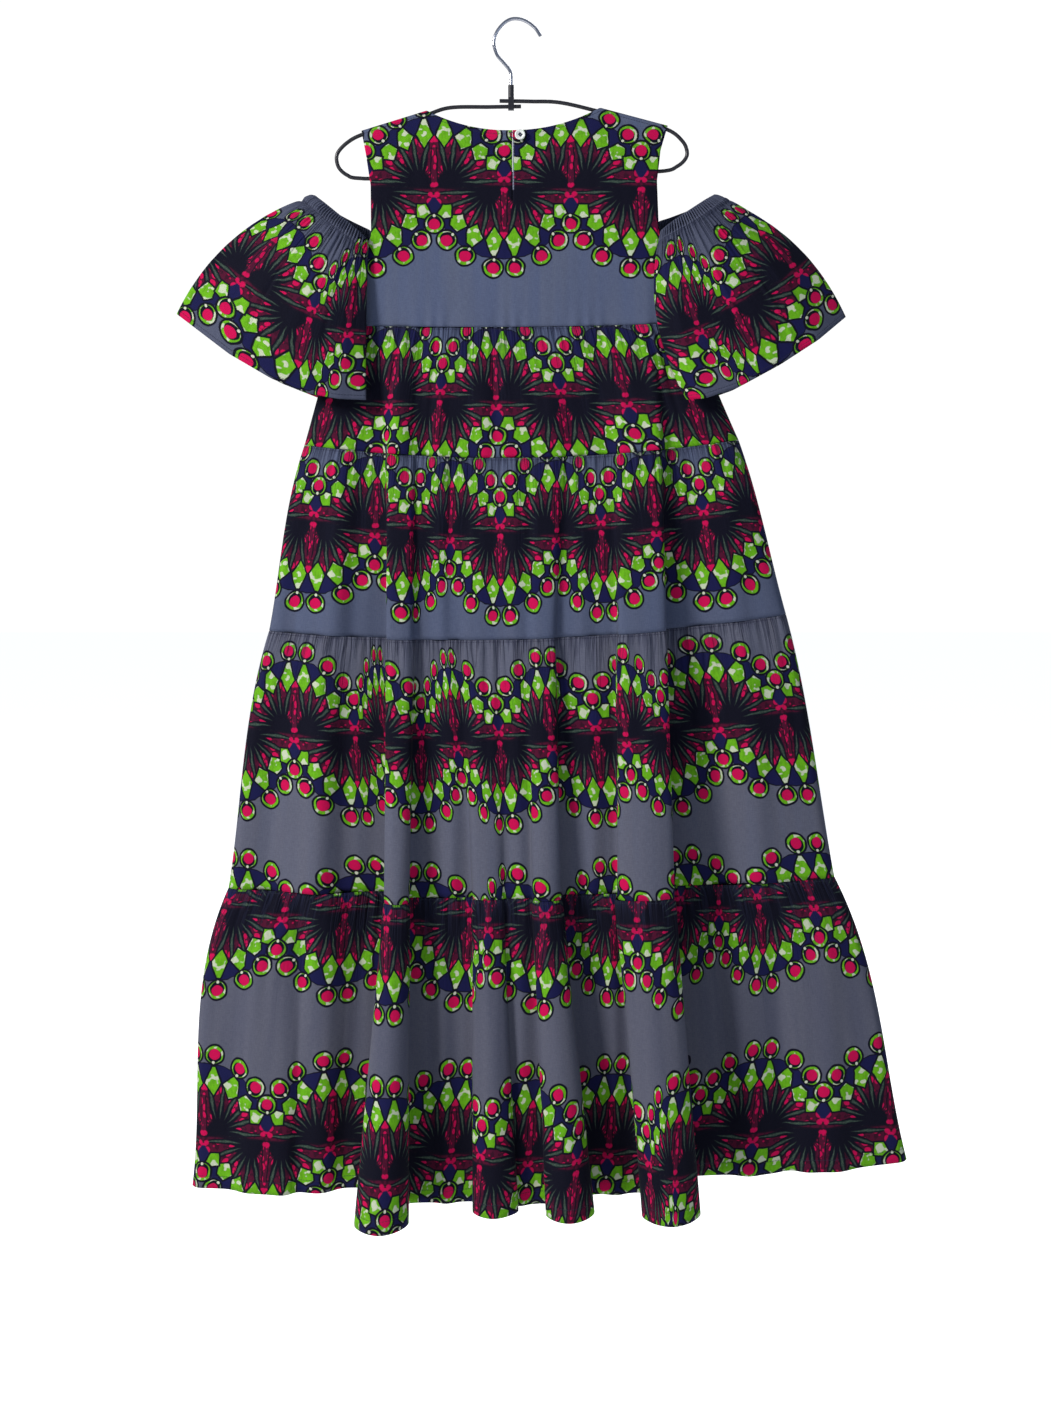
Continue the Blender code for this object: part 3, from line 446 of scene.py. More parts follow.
def printed_cotton(name, ground, line_below, line_above, pull, slit_edge=False):
    """Printed cotton with its slate ground, and the stitching, creases and painted crease shade of one
    piece.
    """
    cotton = bpy.data.materials.new(name)
    cotton.use_nodes = True
    tree = cotton.node_tree
    cloth_place = tree.nodes.new("ShaderNodeUVMap")
    cloth_place.uv_map = "print"
    seam_distances = tree.nodes.new("ShaderNodeAttribute")
    seam_distances.attribute_name = "sewing"
    sewn = Result(seam_distances.outputs["Vector"])
    across, below, _ = [part * MM for part in parts(sewn)]
    streaks = blotches(across * 0.04, below * 0.004, 1.0, 0.25, 0.75, 2.0)
    weft = blotches(across * 0.16, below, 1.0, 0.2, 0.8, 2.0)
    warp = blotches(across, below * 0.16, 1.0, 0.2, 0.8, 2.0)
    cloud = painted(streaks, *ground)
    cloud = painted((weft + warp) * 0.17, cloud, SLUB_SHADE)
    worked_print = tree.nodes.new("ShaderNodeGroup")
    worked_print.node_tree = fan_print
    fed(worked_print, Place_on_cloth=Result(cloth_place.outputs["UV"]), Ground=cloud)
    stitching = tree.nodes.new("ShaderNodeGroup")
    stitching.node_tree = sewing
    for socket, value in zip(stitching.inputs, (sewn, line_below, line_above, pull)):
        feed(socket, value)
    stitch, crease_height, painted_crease_shade = [Result(output) for output in stitching.outputs]
    weave = added(tree, "TexNoise", "Fac", Scale=900.0, Vector=added(tree, "TexCoord", "Object"))
    colour = painted(weave * 0.22, Result(worked_print.outputs["Colour"]), SPECKLE_SHADE)
    # Painted shade laid into the crease valleys
    colour = painted(painted_crease_shade, colour, PAINTED_CREASE_SHADE)
    colour = painted(stitch * 0.7, colour, STITCH_THREAD)
    if slit_edge:
        beside = inside(abs(across - 1.0), 0.75, 0.5)
        dashes = inside(abs(worked_out("WRAP", below, 1.7, -1.7)), 1.15, 0.6)
        in_slit = beside * (dashes * 0.5 + 0.5) * inside(below, 69.0, 2.0) * ramp(below, 0.5, -5.0)
        colour = painted(in_slit, colour, TURNED_EDGE)
    rumple = added(tree, "Bump", "Normal", Distance=0.0016, Strength=0.8, Height=crease_height)
    relief = added(tree, "Bump", "Normal", Distance=0.00012, Strength=0.5, Height=weave, Normal=rumple)
    fed(tree.nodes["Principled BSDF"], Base_Color=colour, Roughness=0.82, Specular_IOR_Level=0.08,
        Sheen_Weight=0.02, Sheen_Roughness=0.5, Normal=relief)
    return cotton


# Bodice: a front and a back panel cut in one with the shoulders, which hang over the hanger's arms.
# The back has a short slit at the neck. Both necklines and armholes have narrow turned edges.
HANG = Vector((-0.0045, 0.0, -0.0018))
PIXEL = 0.00116
PICTURE_MIDDLE = 512.0
CLOTH_THICK = 0.0006
FLAT_DEPTH = 0.012
SEAMS = (
    (-0.353, -0.355, -0.35), (-0.491, -0.506, -0.485), (-0.706, -0.713, -0.687),
    (-1.004, -1.004, -0.991), (-1.349, -1.341, -1.319))
SIDE_LEFT = (-0.204, -0.241, -0.282, -0.329, -0.371)
SIDE_RIGHT = (0.205, 0.262, 0.317, 0.373, 0.457)
BODICE_EDGES = (
    (-0.1264, -0.175, 0.18, 0.0), (-0.156, -0.169, 0.171, 0.0085),
    (-0.191, -0.1635, 0.1668, 0.011), (-0.25, -0.163, 0.169, 0.012),
    (-0.269, -0.173, 0.182, 0.0095), (-0.288, -0.194, 0.199, 0.0),
    (-0.32, -0.199, 0.202, 0.0), (-0.353, -0.204, 0.205, 0.0))
SHOULDER_LEFT = ((-0.175, -0.1264), (-0.1, -0.1032))
SHOULDER_RIGHT = ((0.102, -0.0998), (0.18, -0.1206))
OVER_WIRE = (*SHOULDER_LEFT, (-0.072, -0.0953), (0.056, -0.0895), *SHOULDER_RIGHT)
BACK_NECK_DROP = 0.0262
FRONT_NECK_DROP = 0.07
NECK_BOWL_POWER = 2.2
OVER_WIRE_DEPTH = 0.0042
DEPTH_DROP = 0.055
SIDE_ROUND = 0.014
SHOULDER_DROP = 0.06
BODICE_GROUND = ((0.122, 0.144, 0.216), (0.098, 0.126, 0.222))
SLIT_HALF = 0.0002
SLIT_FALL = 0.35
BODICE_HALF_COLUMNS = 80
BODICE_ROWS = 80
# Where the print's grain lines are seen, in picture columns, and the repeat at each. A fan points up at
# a whole repeat. Then the height of the middle of the bodice's band.
BODICE_LINES = ((434, 504, 570, 640), (0.0, 0.5, 1.0, 1.5))
BODICE_BAND = -0.19372
# The print runs on at this rate over the plain ground below the bodice's band
GROUND_RATE = 0.4
# The cloth lies calm this near its cut edges, keeps this far from the middle plane, and stops this far
# short of the piece it is sewn to
EDGE_CALM = 0.02
LEAST_DEPTH = 0.0004
SEAM_GAP = 0.0002


def at_level(values, level):
    return float(np.interp(level, range(len(values)), values))


def seam_height(level, x):
    """Height of the seam line at x, a parabola through its left, middle and right heights."""
    left, middle, right = [at_level([row[index] for row in SEAMS], level) for index in range(3)]
    x_left = at_level(SIDE_LEFT, level)
    x_right = at_level(SIDE_RIGHT, level)
    share = np.clip((x - x_left) / (x_right - x_left), 0.0, 1.0)
    return (left * (1 - share) * (1 - 2 * share) + middle * 4 * share * (1 - share)
            + right * share * (2 * share - 1))


def sewn_sheet(name, places, print_places, sewing_places, cotton, left_out=None, closed=False):
    """Moves a flat grid of cloth into place, with its print and its distances from the seams.

    places, print_places and sewing_places have a row for each row of points. left_out tells which cells
    of the cloth are cut away, by row and column.
    """
    rows, columns, _ = places.shape
    form = bmesh.new()
    bmesh.ops.create_grid(form, x_segments=columns - 1, y_segments=rows - 1, size=0.5)
    flat = np.array([vert.co[:] for vert in form.verts])
    at_column = np.rint((flat[:, 0] + 0.5) * (columns - 1)).astype(int)
    at_row = np.rint((0.5 - flat[:, 1]) * (rows - 1)).astype(int)
    for vert, row, column in zip(form.verts, at_row, at_column):
        vert.co = Vector(places[row, column]) + HANG
    mesh = bpy.data.meshes.new(name)
    form.to_mesh(mesh)
    form.free()
    corner_of = np.empty(len(mesh.loops), dtype=np.int32)
    mesh.loops.foreach_get("vertex_index", corner_of)
    print_at = print_places[at_row[corner_of], at_column[corner_of]].astype(np.float32)
    mesh.uv_layers.new(name="print").data.foreach_set("uv", print_at.ravel())
    sewing_at = sewing_places[at_row, at_column].astype(np.float32)
    mesh.attributes.new("sewing", "FLOAT_VECTOR", "POINT").data.foreach_set("vector", sewing_at.ravel())
    form = bmesh.new()
    form.from_mesh(mesh)
    if left_out is not None:
        form.faces.ensure_lookup_table()
        cut = []
        for face in form.faces:
            corners = [vert.index for vert in face.verts]
            if left_out(at_row[corners].min(), at_column[corners].min()):
                cut.append(face)
        bmesh.ops.delete(form, geom=cut, context="FACES")
    if closed:
        form.verts.ensure_lookup_table()
        ends = [vert for vert, column in zip(form.verts, at_column) if column in (0, columns - 1)]
        bmesh.ops.remove_doubles(form, verts=ends, dist=0.00001)
    bmesh.ops.recalc_face_normals(form, faces=form.faces)
    form.to_mesh(mesh)
    form.free()
    mesh.shade_smooth()
    mesh.materials.append(cotton)
    piece = in_scene(name, mesh)
    wall = piece.modifiers.new("cloth thickness", "SOLIDIFY")
    wall.thickness = CLOTH_THICK
    wall.offset = 0.0
    wall.use_even_offset = False
    return piece


def dress_piece(piece, node):
    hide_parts(node)
    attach(piece, "root")


def top_edge(x, neck_drop):
    """Height of the bodice's top at x: shoulder, neckline, shoulder."""
    left_in, right_in = SHOULDER_LEFT[1], SHOULDER_RIGHT[0]
    if x <= left_in[0]:
        return float(np.interp(x, *zip(*SHOULDER_LEFT)))
    if x >= right_in[0]:
        return float(np.interp(x, *zip(*SHOULDER_RIGHT)))
    share = (x - left_in[0]) / (right_in[0] - left_in[0])
    line = left_in[1] + (right_in[1] - left_in[1]) * share
    return line - neck_drop * (1 - abs(2 * share - 1) ** NECK_BOWL_POWER)


def bodice_depth(start_x, x, z, edge_depth, x_left, x_right):
    """Half depth of the bodice: over the hanger's wire at the shoulder, rounded in at a closed side."""
    drop = float(np.interp(start_x, *zip(*OVER_WIRE))) - z
    if drop < OVER_WIRE_DEPTH:
        shoulder = math.sqrt(max(0.0, OVER_WIRE_DEPTH ** 2 - (OVER_WIRE_DEPTH - drop) ** 2))
    else:
        reach = min(1.0, (drop - OVER_WIRE_DEPTH) / DEPTH_DROP)
        shoulder = OVER_WIRE_DEPTH + (FLAT_DEPTH - OVER_WIRE_DEPTH) * math.sin(math.pi / 2 * reach)
    inward = min(x - x_left, x_right - x)
    turn = math.sin(math.pi / 2 * min(1.0, max(0.0, inward) / SIDE_ROUND))
    closed_in = max(0.0, FLAT_DEPTH - edge_depth) if drop > SHOULDER_DROP else 0.0
    return max(shoulder - closed_in * (1 - turn), 0.0)


def run_on(along, lines, repeats, way=1.0):
    """The print's repeat between its grain lines, and at its own rate beyond the first and the last."""
    phase = np.interp(along, lines, repeats)
    phase = np.where(along < lines[0], repeats[0] + way * (along - lines[0]) / REPEAT, phase)
    return np.where(along > lines[-1], repeats[-1] + way * (along - lines[-1]) / REPEAT, phase)


def bodice_panel(name, node, facing, neck_drop, slit, cotton, print_shift):
    half_columns = BODICE_HALF_COLUMNS
    rows = BODICE_ROWS
    left_out, right_out = SHOULDER_LEFT[0][0], SHOULDER_RIGHT[1][0]
    starts = np.concatenate([
        np.linspace(left_out, -SLIT_HALF, half_columns), np.linspace(SLIT_HALF, right_out, half_columns)])
    falls = np.linspace(0.0, 1.0, rows) ** 1.25
    heights, *edges = zip(*BODICE_EDGES)
    heights_down = [-height for height in heights]
    places = np.zeros((rows, len(starts), 3))
    sewn = np.zeros((rows, len(starts), 3))
    for row, fall in enumerate(falls):
        edge_z = heights[0] + (heights[-1] - heights[0]) * fall
        x_left, x_right, edge_depth = [float(np.interp(-edge_z, heights_down, edge)) for edge in edges]
        for column, start_x in enumerate(starts):
            if start_x < 0:
                x = -SLIT_HALF + (x_left + SLIT_HALF) * (start_x + SLIT_HALF) / (left_out + SLIT_HALF)
            else:
                x = SLIT_HALF + (x_right - SLIT_HALF) * (start_x - SLIT_HALF) / (right_out - SLIT_HALF)
            top = top_edge(start_x, neck_drop)
            bottom = seam_height(0, x) + SEAM_GAP
            z = top + (bottom - top) * fall
            depth = bodice_depth(start_x, x, z, edge_depth, x_left, x_right)
            sag = 0.0016 * math.sin(31.0 * x + 2.0 * z + 1.3) * math.sin(19.0 * z + 11.0 * x + 0.5)
            pulled = 0.0009 * math.sin(math.pi * 2.0 * (x * 38.0 + 0.6 * math.sin(70.0 * x)))
            pulled *= math.exp(-(z - bottom) / 0.012)
            from_sides = min(x - x_left, x_right - x)
            depth += (sag + pulled) * min(1.0, (top - z) / EDGE_CALM) * min(1.0, from_sides / EDGE_CALM)
            places[row, column] = (x, facing * max(depth, LEAST_DEPTH), z)
            sewn[row, column] = (x, top - z, z - bottom)
    across = places[..., 0]
    if facing < 0:
        columns, repeats = BODICE_LINES
        phase = run_on(across, [(column - PICTURE_MIDDLE) * PIXEL for column in columns], repeats)
    else:
        phase = across / REPEAT + print_shift
    up = places[..., 2] - BODICE_BAND
    up = np.where(up < -BAND_REACH, -BAND_REACH + (up + BAND_REACH) * GROUND_RATE, up)
    prints = np.stack([phase * REPEAT, up], axis=-1)

    def slit_cell(row, column):
        return slit and column == half_columns - 1 and falls[row] < SLIT_FALL

    piece = sewn_sheet(name, places, prints, sewn, cotton, slit_cell)
    dress_piece(piece, node)


bodice_cotton = printed_cotton("printed cotton, bodice", BODICE_GROUND, 4.5, -9.0, 0.0)
slit_cotton = printed_cotton("printed cotton, bodice back", BODICE_GROUND, 4.5, -9.0, 0.0, True)
bodice_panel("bodice_back_cloth", "bodice_back", -1, BACK_NECK_DROP, True, slit_cotton, 0.0)
bodice_panel("bodice_front_cloth", "bodice_front", 1, FRONT_NECK_DROP, False, bodice_cotton, 0.25)


# Skirt: four tiers, each a gathered back and front panel sewn to the tier above. The back falls in
# four deep lobes that stand forward over the wings at the sides, and the front hangs flatter.
CURVE_POINTS = 900
ROUNDING = 0.03
SWELL = ((0.0, 0.0), (0.005, 0.003), (0.007, 0.004), (0.017, 0.013))
HEM_SAG = 0.1
BACK_LOBES = (
    ((-0.146, -0.145, -0.145, -0.145, -0.176), (-0.118, -0.114, -0.111, -0.114, -0.113), 0.122, 0.05),
    ((-0.066, -0.05, -0.057, -0.047, -0.046), (-0.02, -0.016, -0.013, -0.007, 0.007), 0.092, 0.06),
    ((0.021, 0.021, 0.019, 0.021, 0.036), (0.055, 0.058, 0.05, 0.057, 0.093), 0.108, 0.044),
    ((0.119, 0.122, 0.119, 0.117, 0.143), (0.159, 0.172, 0.177, 0.184, 0.21), 0.124, 0.012))
FRONT_LOBES = (
    ((-0.15, -0.17, -0.19, -0.22, -0.24), (-0.11, -0.125, -0.14, -0.16, -0.165), 0.034, 0.014),
    ((-0.07, -0.075, -0.075, -0.08, -0.085), (-0.03, -0.025, -0.02, -0.01, -0.005), 0.04, 0.018),
    ((0.03, 0.035, 0.045, 0.06, 0.075), (0.075, 0.085, 0.105, 0.13, 0.15), 0.032, 0.016),
    ((0.125, 0.145, 0.17, 0.205, 0.24), (0.16, 0.19, 0.22, 0.265, 0.31), 0.038, 0.012))
LEFT_WAVES = ((0.25, 0.012), (0.58, 0.032), (0.9, 0.012))
RIGHT_WAVES = ((0.2, 0.013), (0.52, 0.021), (0.86, 0.012))
LOBE_SHARE = (0.0, 0.12, 0.3, 0.64, 1.0)
RECESS_SHARE = (0.0, 0.2, 0.5, 0.85, 1.0)
BACK_TUCK = (0.0, 0.0, 0.002, 0.005, 0.007)
OUTER_TUCK = (0.0, 0.001, 0.006, 0.014, 0.022)
# How much less deep a lobe's edges are than its middle, at the hem
LOBE_CROWN = 0.2
# Corner points of a lobe: how far across it each is, and its share of the crown
LOBE_FORM = ((0.0, 1.0), (0.22, 0.3), (0.5, 0.0), (0.78, 0.3), (1.0, 1.0))
TURN_IN = 0.0035
TURN_DEPTH = 0.0085
TIER_FOLLOWS_FOLDS = (0.0, 0.5, 1.0, 1.0)
# Rows and columns of points, on the back and on the front
TIER_ROWS = ((44, 50, 58, 64), (30, 36, 42, 46))
TIER_COLUMNS = ((360, 400, 440, 480), (240, 280, 320, 360))
TIER_GATHERS = (44, 56, 70, 86)
# The print's bands on each tier: how far below the tier's upper seam a band's middle is
TIER_BANDS = ((0.084,), (0.087,), (0.114, 0.356), (0.023, 0.284))
# The repeats of the print at its grain lines on the back, and the picture columns where they are seen:
# for the tier's first band, and for its second where it has one
TIER_REPEATS = (
    (-0.5, 0, 0.5, 1, 1.5, 2, 2.5), (-0.5, 0, 0.5, 1, 1.5, 2, 2.5, 3, 3.5, 4),
    (-0.5, 0, 0.5, 1, 1.5, 2, 2.5, 3, 3.5, 4, 4.5, 5, 5.5),
    (-0.5, 0, 0.5, 1.5, 2.5, 3, 3.5, 4, 4.5, 5, 5.5, 6.5, 7, 7.5))
TIER_LINES = (
    ((333, 392, 440, 496, 561, 624, 686),),
    ((312, 375, 412, 450, 500, 557, 601, 656, 706, 770),),
    ((240, 295, 357, 385, 422, 456, 499, 551, 597, 627, 667, 717, 783),
     (229, 297, 368, 393, 423, 478, 508, 562, 608, 651, 687, 742, 812)),
    ((224, 285, 346, 386, 470, 487, 545, 573, 615, 637, 680, 758, 811, 880),
     (205, 268, 331, 386, 453, 480, 530, 578, 610, 650, 676, 754, 822, 890)))
TIER_BAND_FALL = ((0.5,), (0.45,), (0.38, 0.93), (0.07, 0.82))
# Soft folds of the back: picture column at the tier's top and at its foot, half width in columns,
# depth in metres, and the shares of the tier's height where it begins and ends
TIER_FOLDS = (
    ((402, 398, 9, 0.003, -0.3, 1.3), (421, 424, 7, -0.0025, -0.3, 1.3), (478, 482, 8, 0.0022, -0.3, 1.1),
     (598, 602, 8, -0.0024, 0.0, 1.3), (652, 660, 9, 0.0026, -0.3, 1.3), (345, 335, 9, 0.0022, 0.1, 1.3)),
    ((340, 330, 12, 0.003, -0.2, 1.3), (362, 352, 10, -0.0026, 0.0, 1.3), (437, 441, 9, 0.003, -0.2, 1.3),
     (512, 516, 10, 0.003, -0.3, 1.3), (578, 582, 9, 0.0028, -0.3, 1.3), (690, 700, 12, -0.003, 0.0, 1.3),
     (720, 738, 12, 0.0028, -0.1, 1.3), (300, 290, 10, -0.0022, 0.2, 1.3)),
    ((320, 312, 14, 0.004, -0.2, 1.3), (348, 345, 12, -0.0034, 0.0, 1.3), (452, 452, 8, 0.004, -0.2, 1.3),
     (512, 520, 9, 0.0036, -0.3, 1.3), (590, 594, 9, 0.0032, -0.3, 1.3), (705, 722, 12, -0.004, 0.0, 1.3),
     (742, 762, 14, 0.0038, -0.1, 1.3), (284, 262, 12, -0.003, 0.2, 1.3)),
    ((262, 248, 16, 0.005, 0.0, 1.3), (298, 297, 12, -0.0085, -0.1, 1.2), (330, 322, 14, 0.005, -0.1, 1.3),
     (440, 446, 9, 0.004, -0.2, 1.3), (522, 520, 8, 0.0038, -0.3, 1.3), (612, 616, 9, 0.004, -0.3, 1.3),
     (735, 748, 14, 0.006, -0.1, 1.3), (772, 790, 14, -0.0075, 0.0, 1.3), (818, 838, 15, 0.005, 0.0, 1.3)))
# Cloth this far behind what stands before it in a strip of the picture is out of view
STRIP_COLUMNS = 3
HIDDEN_BEHIND = 0.004
LEAST_TUCK = 0.003
# Repeats of the print in a metre of the smoothed form: the gathers take up a little cloth
GATHERED_RATE = 1.15 / REPEAT
# Rates at which the cloth that is tucked out of view may take up the print, and the least that is seen
TUCKED_RATES = (0.3 / REPEAT, 3.0 / REPEAT)
LEAST_RATE = 0.5 / REPEAT
# Cut width of a back and a front panel of each tier, before it is gathered
TIER_CUT = ((0.56, 0.5), (0.78, 0.62), (1.0, 0.8), (1.3, 1.0))
# How far the cloth dips in at its upper and lower seams, and over how many millimetres
UPPER_DIP = 0.001
LOWER_DIP = 0.0006
DIP_RUN = 2.5
# The run of the print on the front's tiers starts at another place on each
FRONT_SHIFT = 0.3


def rounded_curve(stations, closed=False, rounding=ROUNDING):
    """Runs a line through the stations and rounds its corners. Its ends stay where they are."""
    stations = np.array(stations, dtype=float)
    if closed:
        stations = np.vstack([stations, stations[:1]])
    steps = np.linalg.norm(np.diff(stations, axis=0), axis=1)
    along = np.concatenate([[0.0], np.cumsum(steps)])
    even = np.linspace(0.0, along[-1], CURVE_POINTS)
    line = np.column_stack([np.interp(even, along, column) for column in stations.T])
    reach = max(2, int(rounding / 2 / (even[1] - even[0])))
    weights = np.hanning(2 * reach + 3)[1:-1]
    weights /= weights.sum()
    if closed:
        padded = np.vstack([line[-reach - 1:-1], line, line[1:reach + 1]])
    else:
        before = 2 * line[0] - line[reach:0:-1]
        after = 2 * line[-1] - line[-2:-reach - 2:-1]
        padded = np.vstack([before, line, after])
    return np.column_stack([np.convolve(column, weights, mode="valid") for column in padded.T])


def cloth_length(points):
    """How far along the cloth each point is, in metres."""
    steps = np.linalg.norm(np.diff(np.array(points), axis=0), axis=1)
    return np.concatenate([[0.0], np.cumsum(steps)])


def skirt_stations(level, lobes, tuck, facing):
    """Corner points of one panel's section, left side seam to right side seam. facing is -1 on the back."""
    tier = min(int(level), len(SWELL) - 1)
    fall = level - tier
    swell = 27 / 4 * fall * (1 - fall) ** 2
    left = at_level(SIDE_LEFT, level) - SWELL[tier][0] * swell
    right = at_level(SIDE_RIGHT, level) + SWELL[tier][1] * swell
    lobe_share = at_level(LOBE_SHARE, level)
    recess_share = at_level(RECESS_SHARE, level)
    tucked = at_level(tuck, level)
    outer_tuck = at_level(OUTER_TUCK, level) if facing < 0 else 0.0

    def lobe_depth(hem_depth):
        return FLAT_DEPTH + (hem_depth - FLAT_DEPTH) * lobe_share

    def recess_depth(hem_depth):
        return FLAT_DEPTH + (hem_depth - FLAT_DEPTH) * recess_share

    block_left = at_level(lobes[0][0], level)
    block_right = at_level(lobes[-1][1], level)
    points = [(left, 0.0), (left + TURN_IN, TURN_DEPTH)]
    for share, hem_depth in LEFT_WAVES:
        points.append((left + (block_left - left) * share, recess_depth(hem_depth)))
    points.append((block_left + outer_tuck, recess_depth(FLAT_DEPTH + 0.002)))
    for index, (left_edge, right_edge, depth, recess) in enumerate(lobes):
        lobe_left = at_level(left_edge, level)
        lobe_right = at_level(right_edge, level)
        crown = LOBE_CROWN * lobe_share if facing < 0 else 0.0
        for share, less in LOBE_FORM:
            x = lobe_left + (lobe_right - lobe_left) * share
            points.append((x, lobe_depth(depth) * (1 - crown * less)))
        if index + 1 < len(lobes):
            next_left = at_level(lobes[index + 1][0], level)
            points.append((at_level(right_edge, level) - tucked, recess_depth(recess)))
            points.append((next_left + tucked, recess_depth(recess)))
    points.append((block_right - outer_tuck, recess_depth(lobes[-1][3])))
    for share, hem_depth in RIGHT_WAVES:
        points.append((block_right + (right - block_right) * share, recess_depth(hem_depth)))
    points += [(right - TURN_IN, TURN_DEPTH), (right, 0.0)]
    return [(x, facing * depth) for x, depth in points]


def seen_column(x, y):
    """The picture column in which a point of the back shows, from the eye two metres in front of it."""
    eye_x = EYE[0] - HANG.x
    return PICTURE_MIDDLE + (eye_x + (x - eye_x) * 2.0 / (2.0 + y)) / PIXEL


def is_hidden(points, column):
    """True where a lobe in front hides a point of the row from the eye."""
    strip = (column / STRIP_COLUMNS).astype(int)
    strip -= strip.min()
    front = np.full(strip.max() + 1, np.inf)
    np.minimum.at(front, strip, points[:, 1])
    return points[:, 1] > front[strip] + HIDDEN_BEHIND


def repeats_along(points, lines):
    """The print's repeat at each point of a row, fixed where its grain lines are seen.

    Between two such lines the cloth in view keeps the print's own scale, and what is tucked out of view
    takes up the rest, as far as the rest can be cloth.
    """
    along = cloth_length(points)
    column = seen_column(points[:, 0], points[:, 1])
    fixed = []
    for picture_column, repeat in lines:
        crossings = np.nonzero((column[:-1] - picture_column) * (column[1:] - picture_column) <= 0)[0]
        if len(crossings):
            nearest = crossings[int(np.argmin(points[crossings, 1]))]
            if not fixed or along[nearest] > along[fixed[-1][0]] + 0.004:
                fixed.append((nearest, repeat))
    steps = np.diff(along, prepend=0.0)
    hidden = is_hidden(points, column)
    in_view = np.cumsum(np.where(hidden, 0.0, steps))
    tucked = np.cumsum(np.where(hidden, steps, 0.0))
    first, last = fixed[0], fixed[-1]
    phase = np.where(
        along < along[first[0]], first[1] + (along - along[first[0]]) * GATHERED_RATE,
        last[1] + (along - along[last[0]]) * GATHERED_RATE)
    for (start, repeat), (end, next_repeat) in zip(fixed, fixed[1:]):
        shown = in_view[end] - in_view[start]
        unseen = tucked[end] - tucked[start]
        advance = next_repeat - repeat
        rate_shown = rate_unseen = advance / (shown + unseen)
        if unseen > LEAST_TUCK and shown > LEAST_TUCK:
            taken_up = np.clip((advance - shown * GATHERED_RATE) / unseen, *TUCKED_RATES)
            left_over = (advance - taken_up * unseen) / shown
            if left_over > LEAST_RATE:
                rate_shown = left_over
                rate_unseen = taken_up
        stretch = slice(start, end + 1)
        phase[stretch] = repeat + rate_shown * (in_view[stretch] - in_view[start])
        phase[stretch] += rate_unseen * (tucked[stretch] - tucked[start])
    return phase


def print_height(below, bands):
    """Place up the print for distances below the seam. Only the plain ground between two bands stretches."""
    from_knots = []
    to_knots = []
    for index, middle in enumerate(bands):
        from_knots += [middle - BAND_REACH, middle + BAND_REACH]
        to_knots += [BAND_REACH - index * BAND_PITCH, -BAND_REACH - index * BAND_PITCH]
    height = np.interp(below, from_knots, to_knots)
    height = np.where(below < from_knots[0], to_knots[0] + (from_knots[0] - below) * 0.2, height)
    return np.where(below > from_knots[-1], to_knots[-1] - (below - from_knots[-1]) * 0.2, height)


def gather_relief(shares, falls_mm, count, seed):
    """Depth in metres of the gathers at each row and column: pinched ridges of uneven length."""
    chance = np.random.default_rng(seed)
    relief = np.zeros((len(falls_mm), len(shares)))
    middles = (np.arange(count) + chance.uniform(0.15, 0.85, count)) / count
    for middle in middles:
        wide = chance.uniform(0.55, 1.15) / count
        deep = chance.uniform(0.0014, 0.0034)
        run = chance.choice((22.0, 32.0, 48.0, 85.0, 150.0), p=(0.25, 0.3, 0.25, 0.14, 0.06))
        drift = chance.uniform(-0.25, 0.25) / count
        leaned = shares[None, :] - middle - drift * falls_mm[:, None] / 100.0
        away = leaned / (wide * (1 + falls_mm[:, None] / 160.0))
        ridge = 0.55 * np.exp(-(away * 1.2) ** 2) - np.exp(-(away * 2.7) ** 2)
        start = 1 - np.exp(-(falls_mm / 6.0) ** 1.2) * 0.72
        relief += deep * ridge * (start * np.exp(-(falls_mm / run) ** 1.6))[:, None]
    return relief


def soft_folds(points, fall, folds, facing):
    """Depth in metres of a row's soft folds. The front's are the back's, mirrored."""
    column = seen_column(points[:, 0], facing * abs(points[:, 1]))
    if facing > 0:
        column = 2 * PICTURE_MIDDLE - column
    relief = np.zeros(len(points))
    for top_column, low_column, wide, deep, begins, ends in folds:
        middle = top_column + (low_column - top_column) * fall
        grown = np.clip((fall - begins) / 0.25, 0.0, 1.0) * np.clip((ends - fall) / 0.25, 0.0, 1.0)
        relief += deep * grown * np.exp(-((column - middle) / wide) ** 2)
    return relief


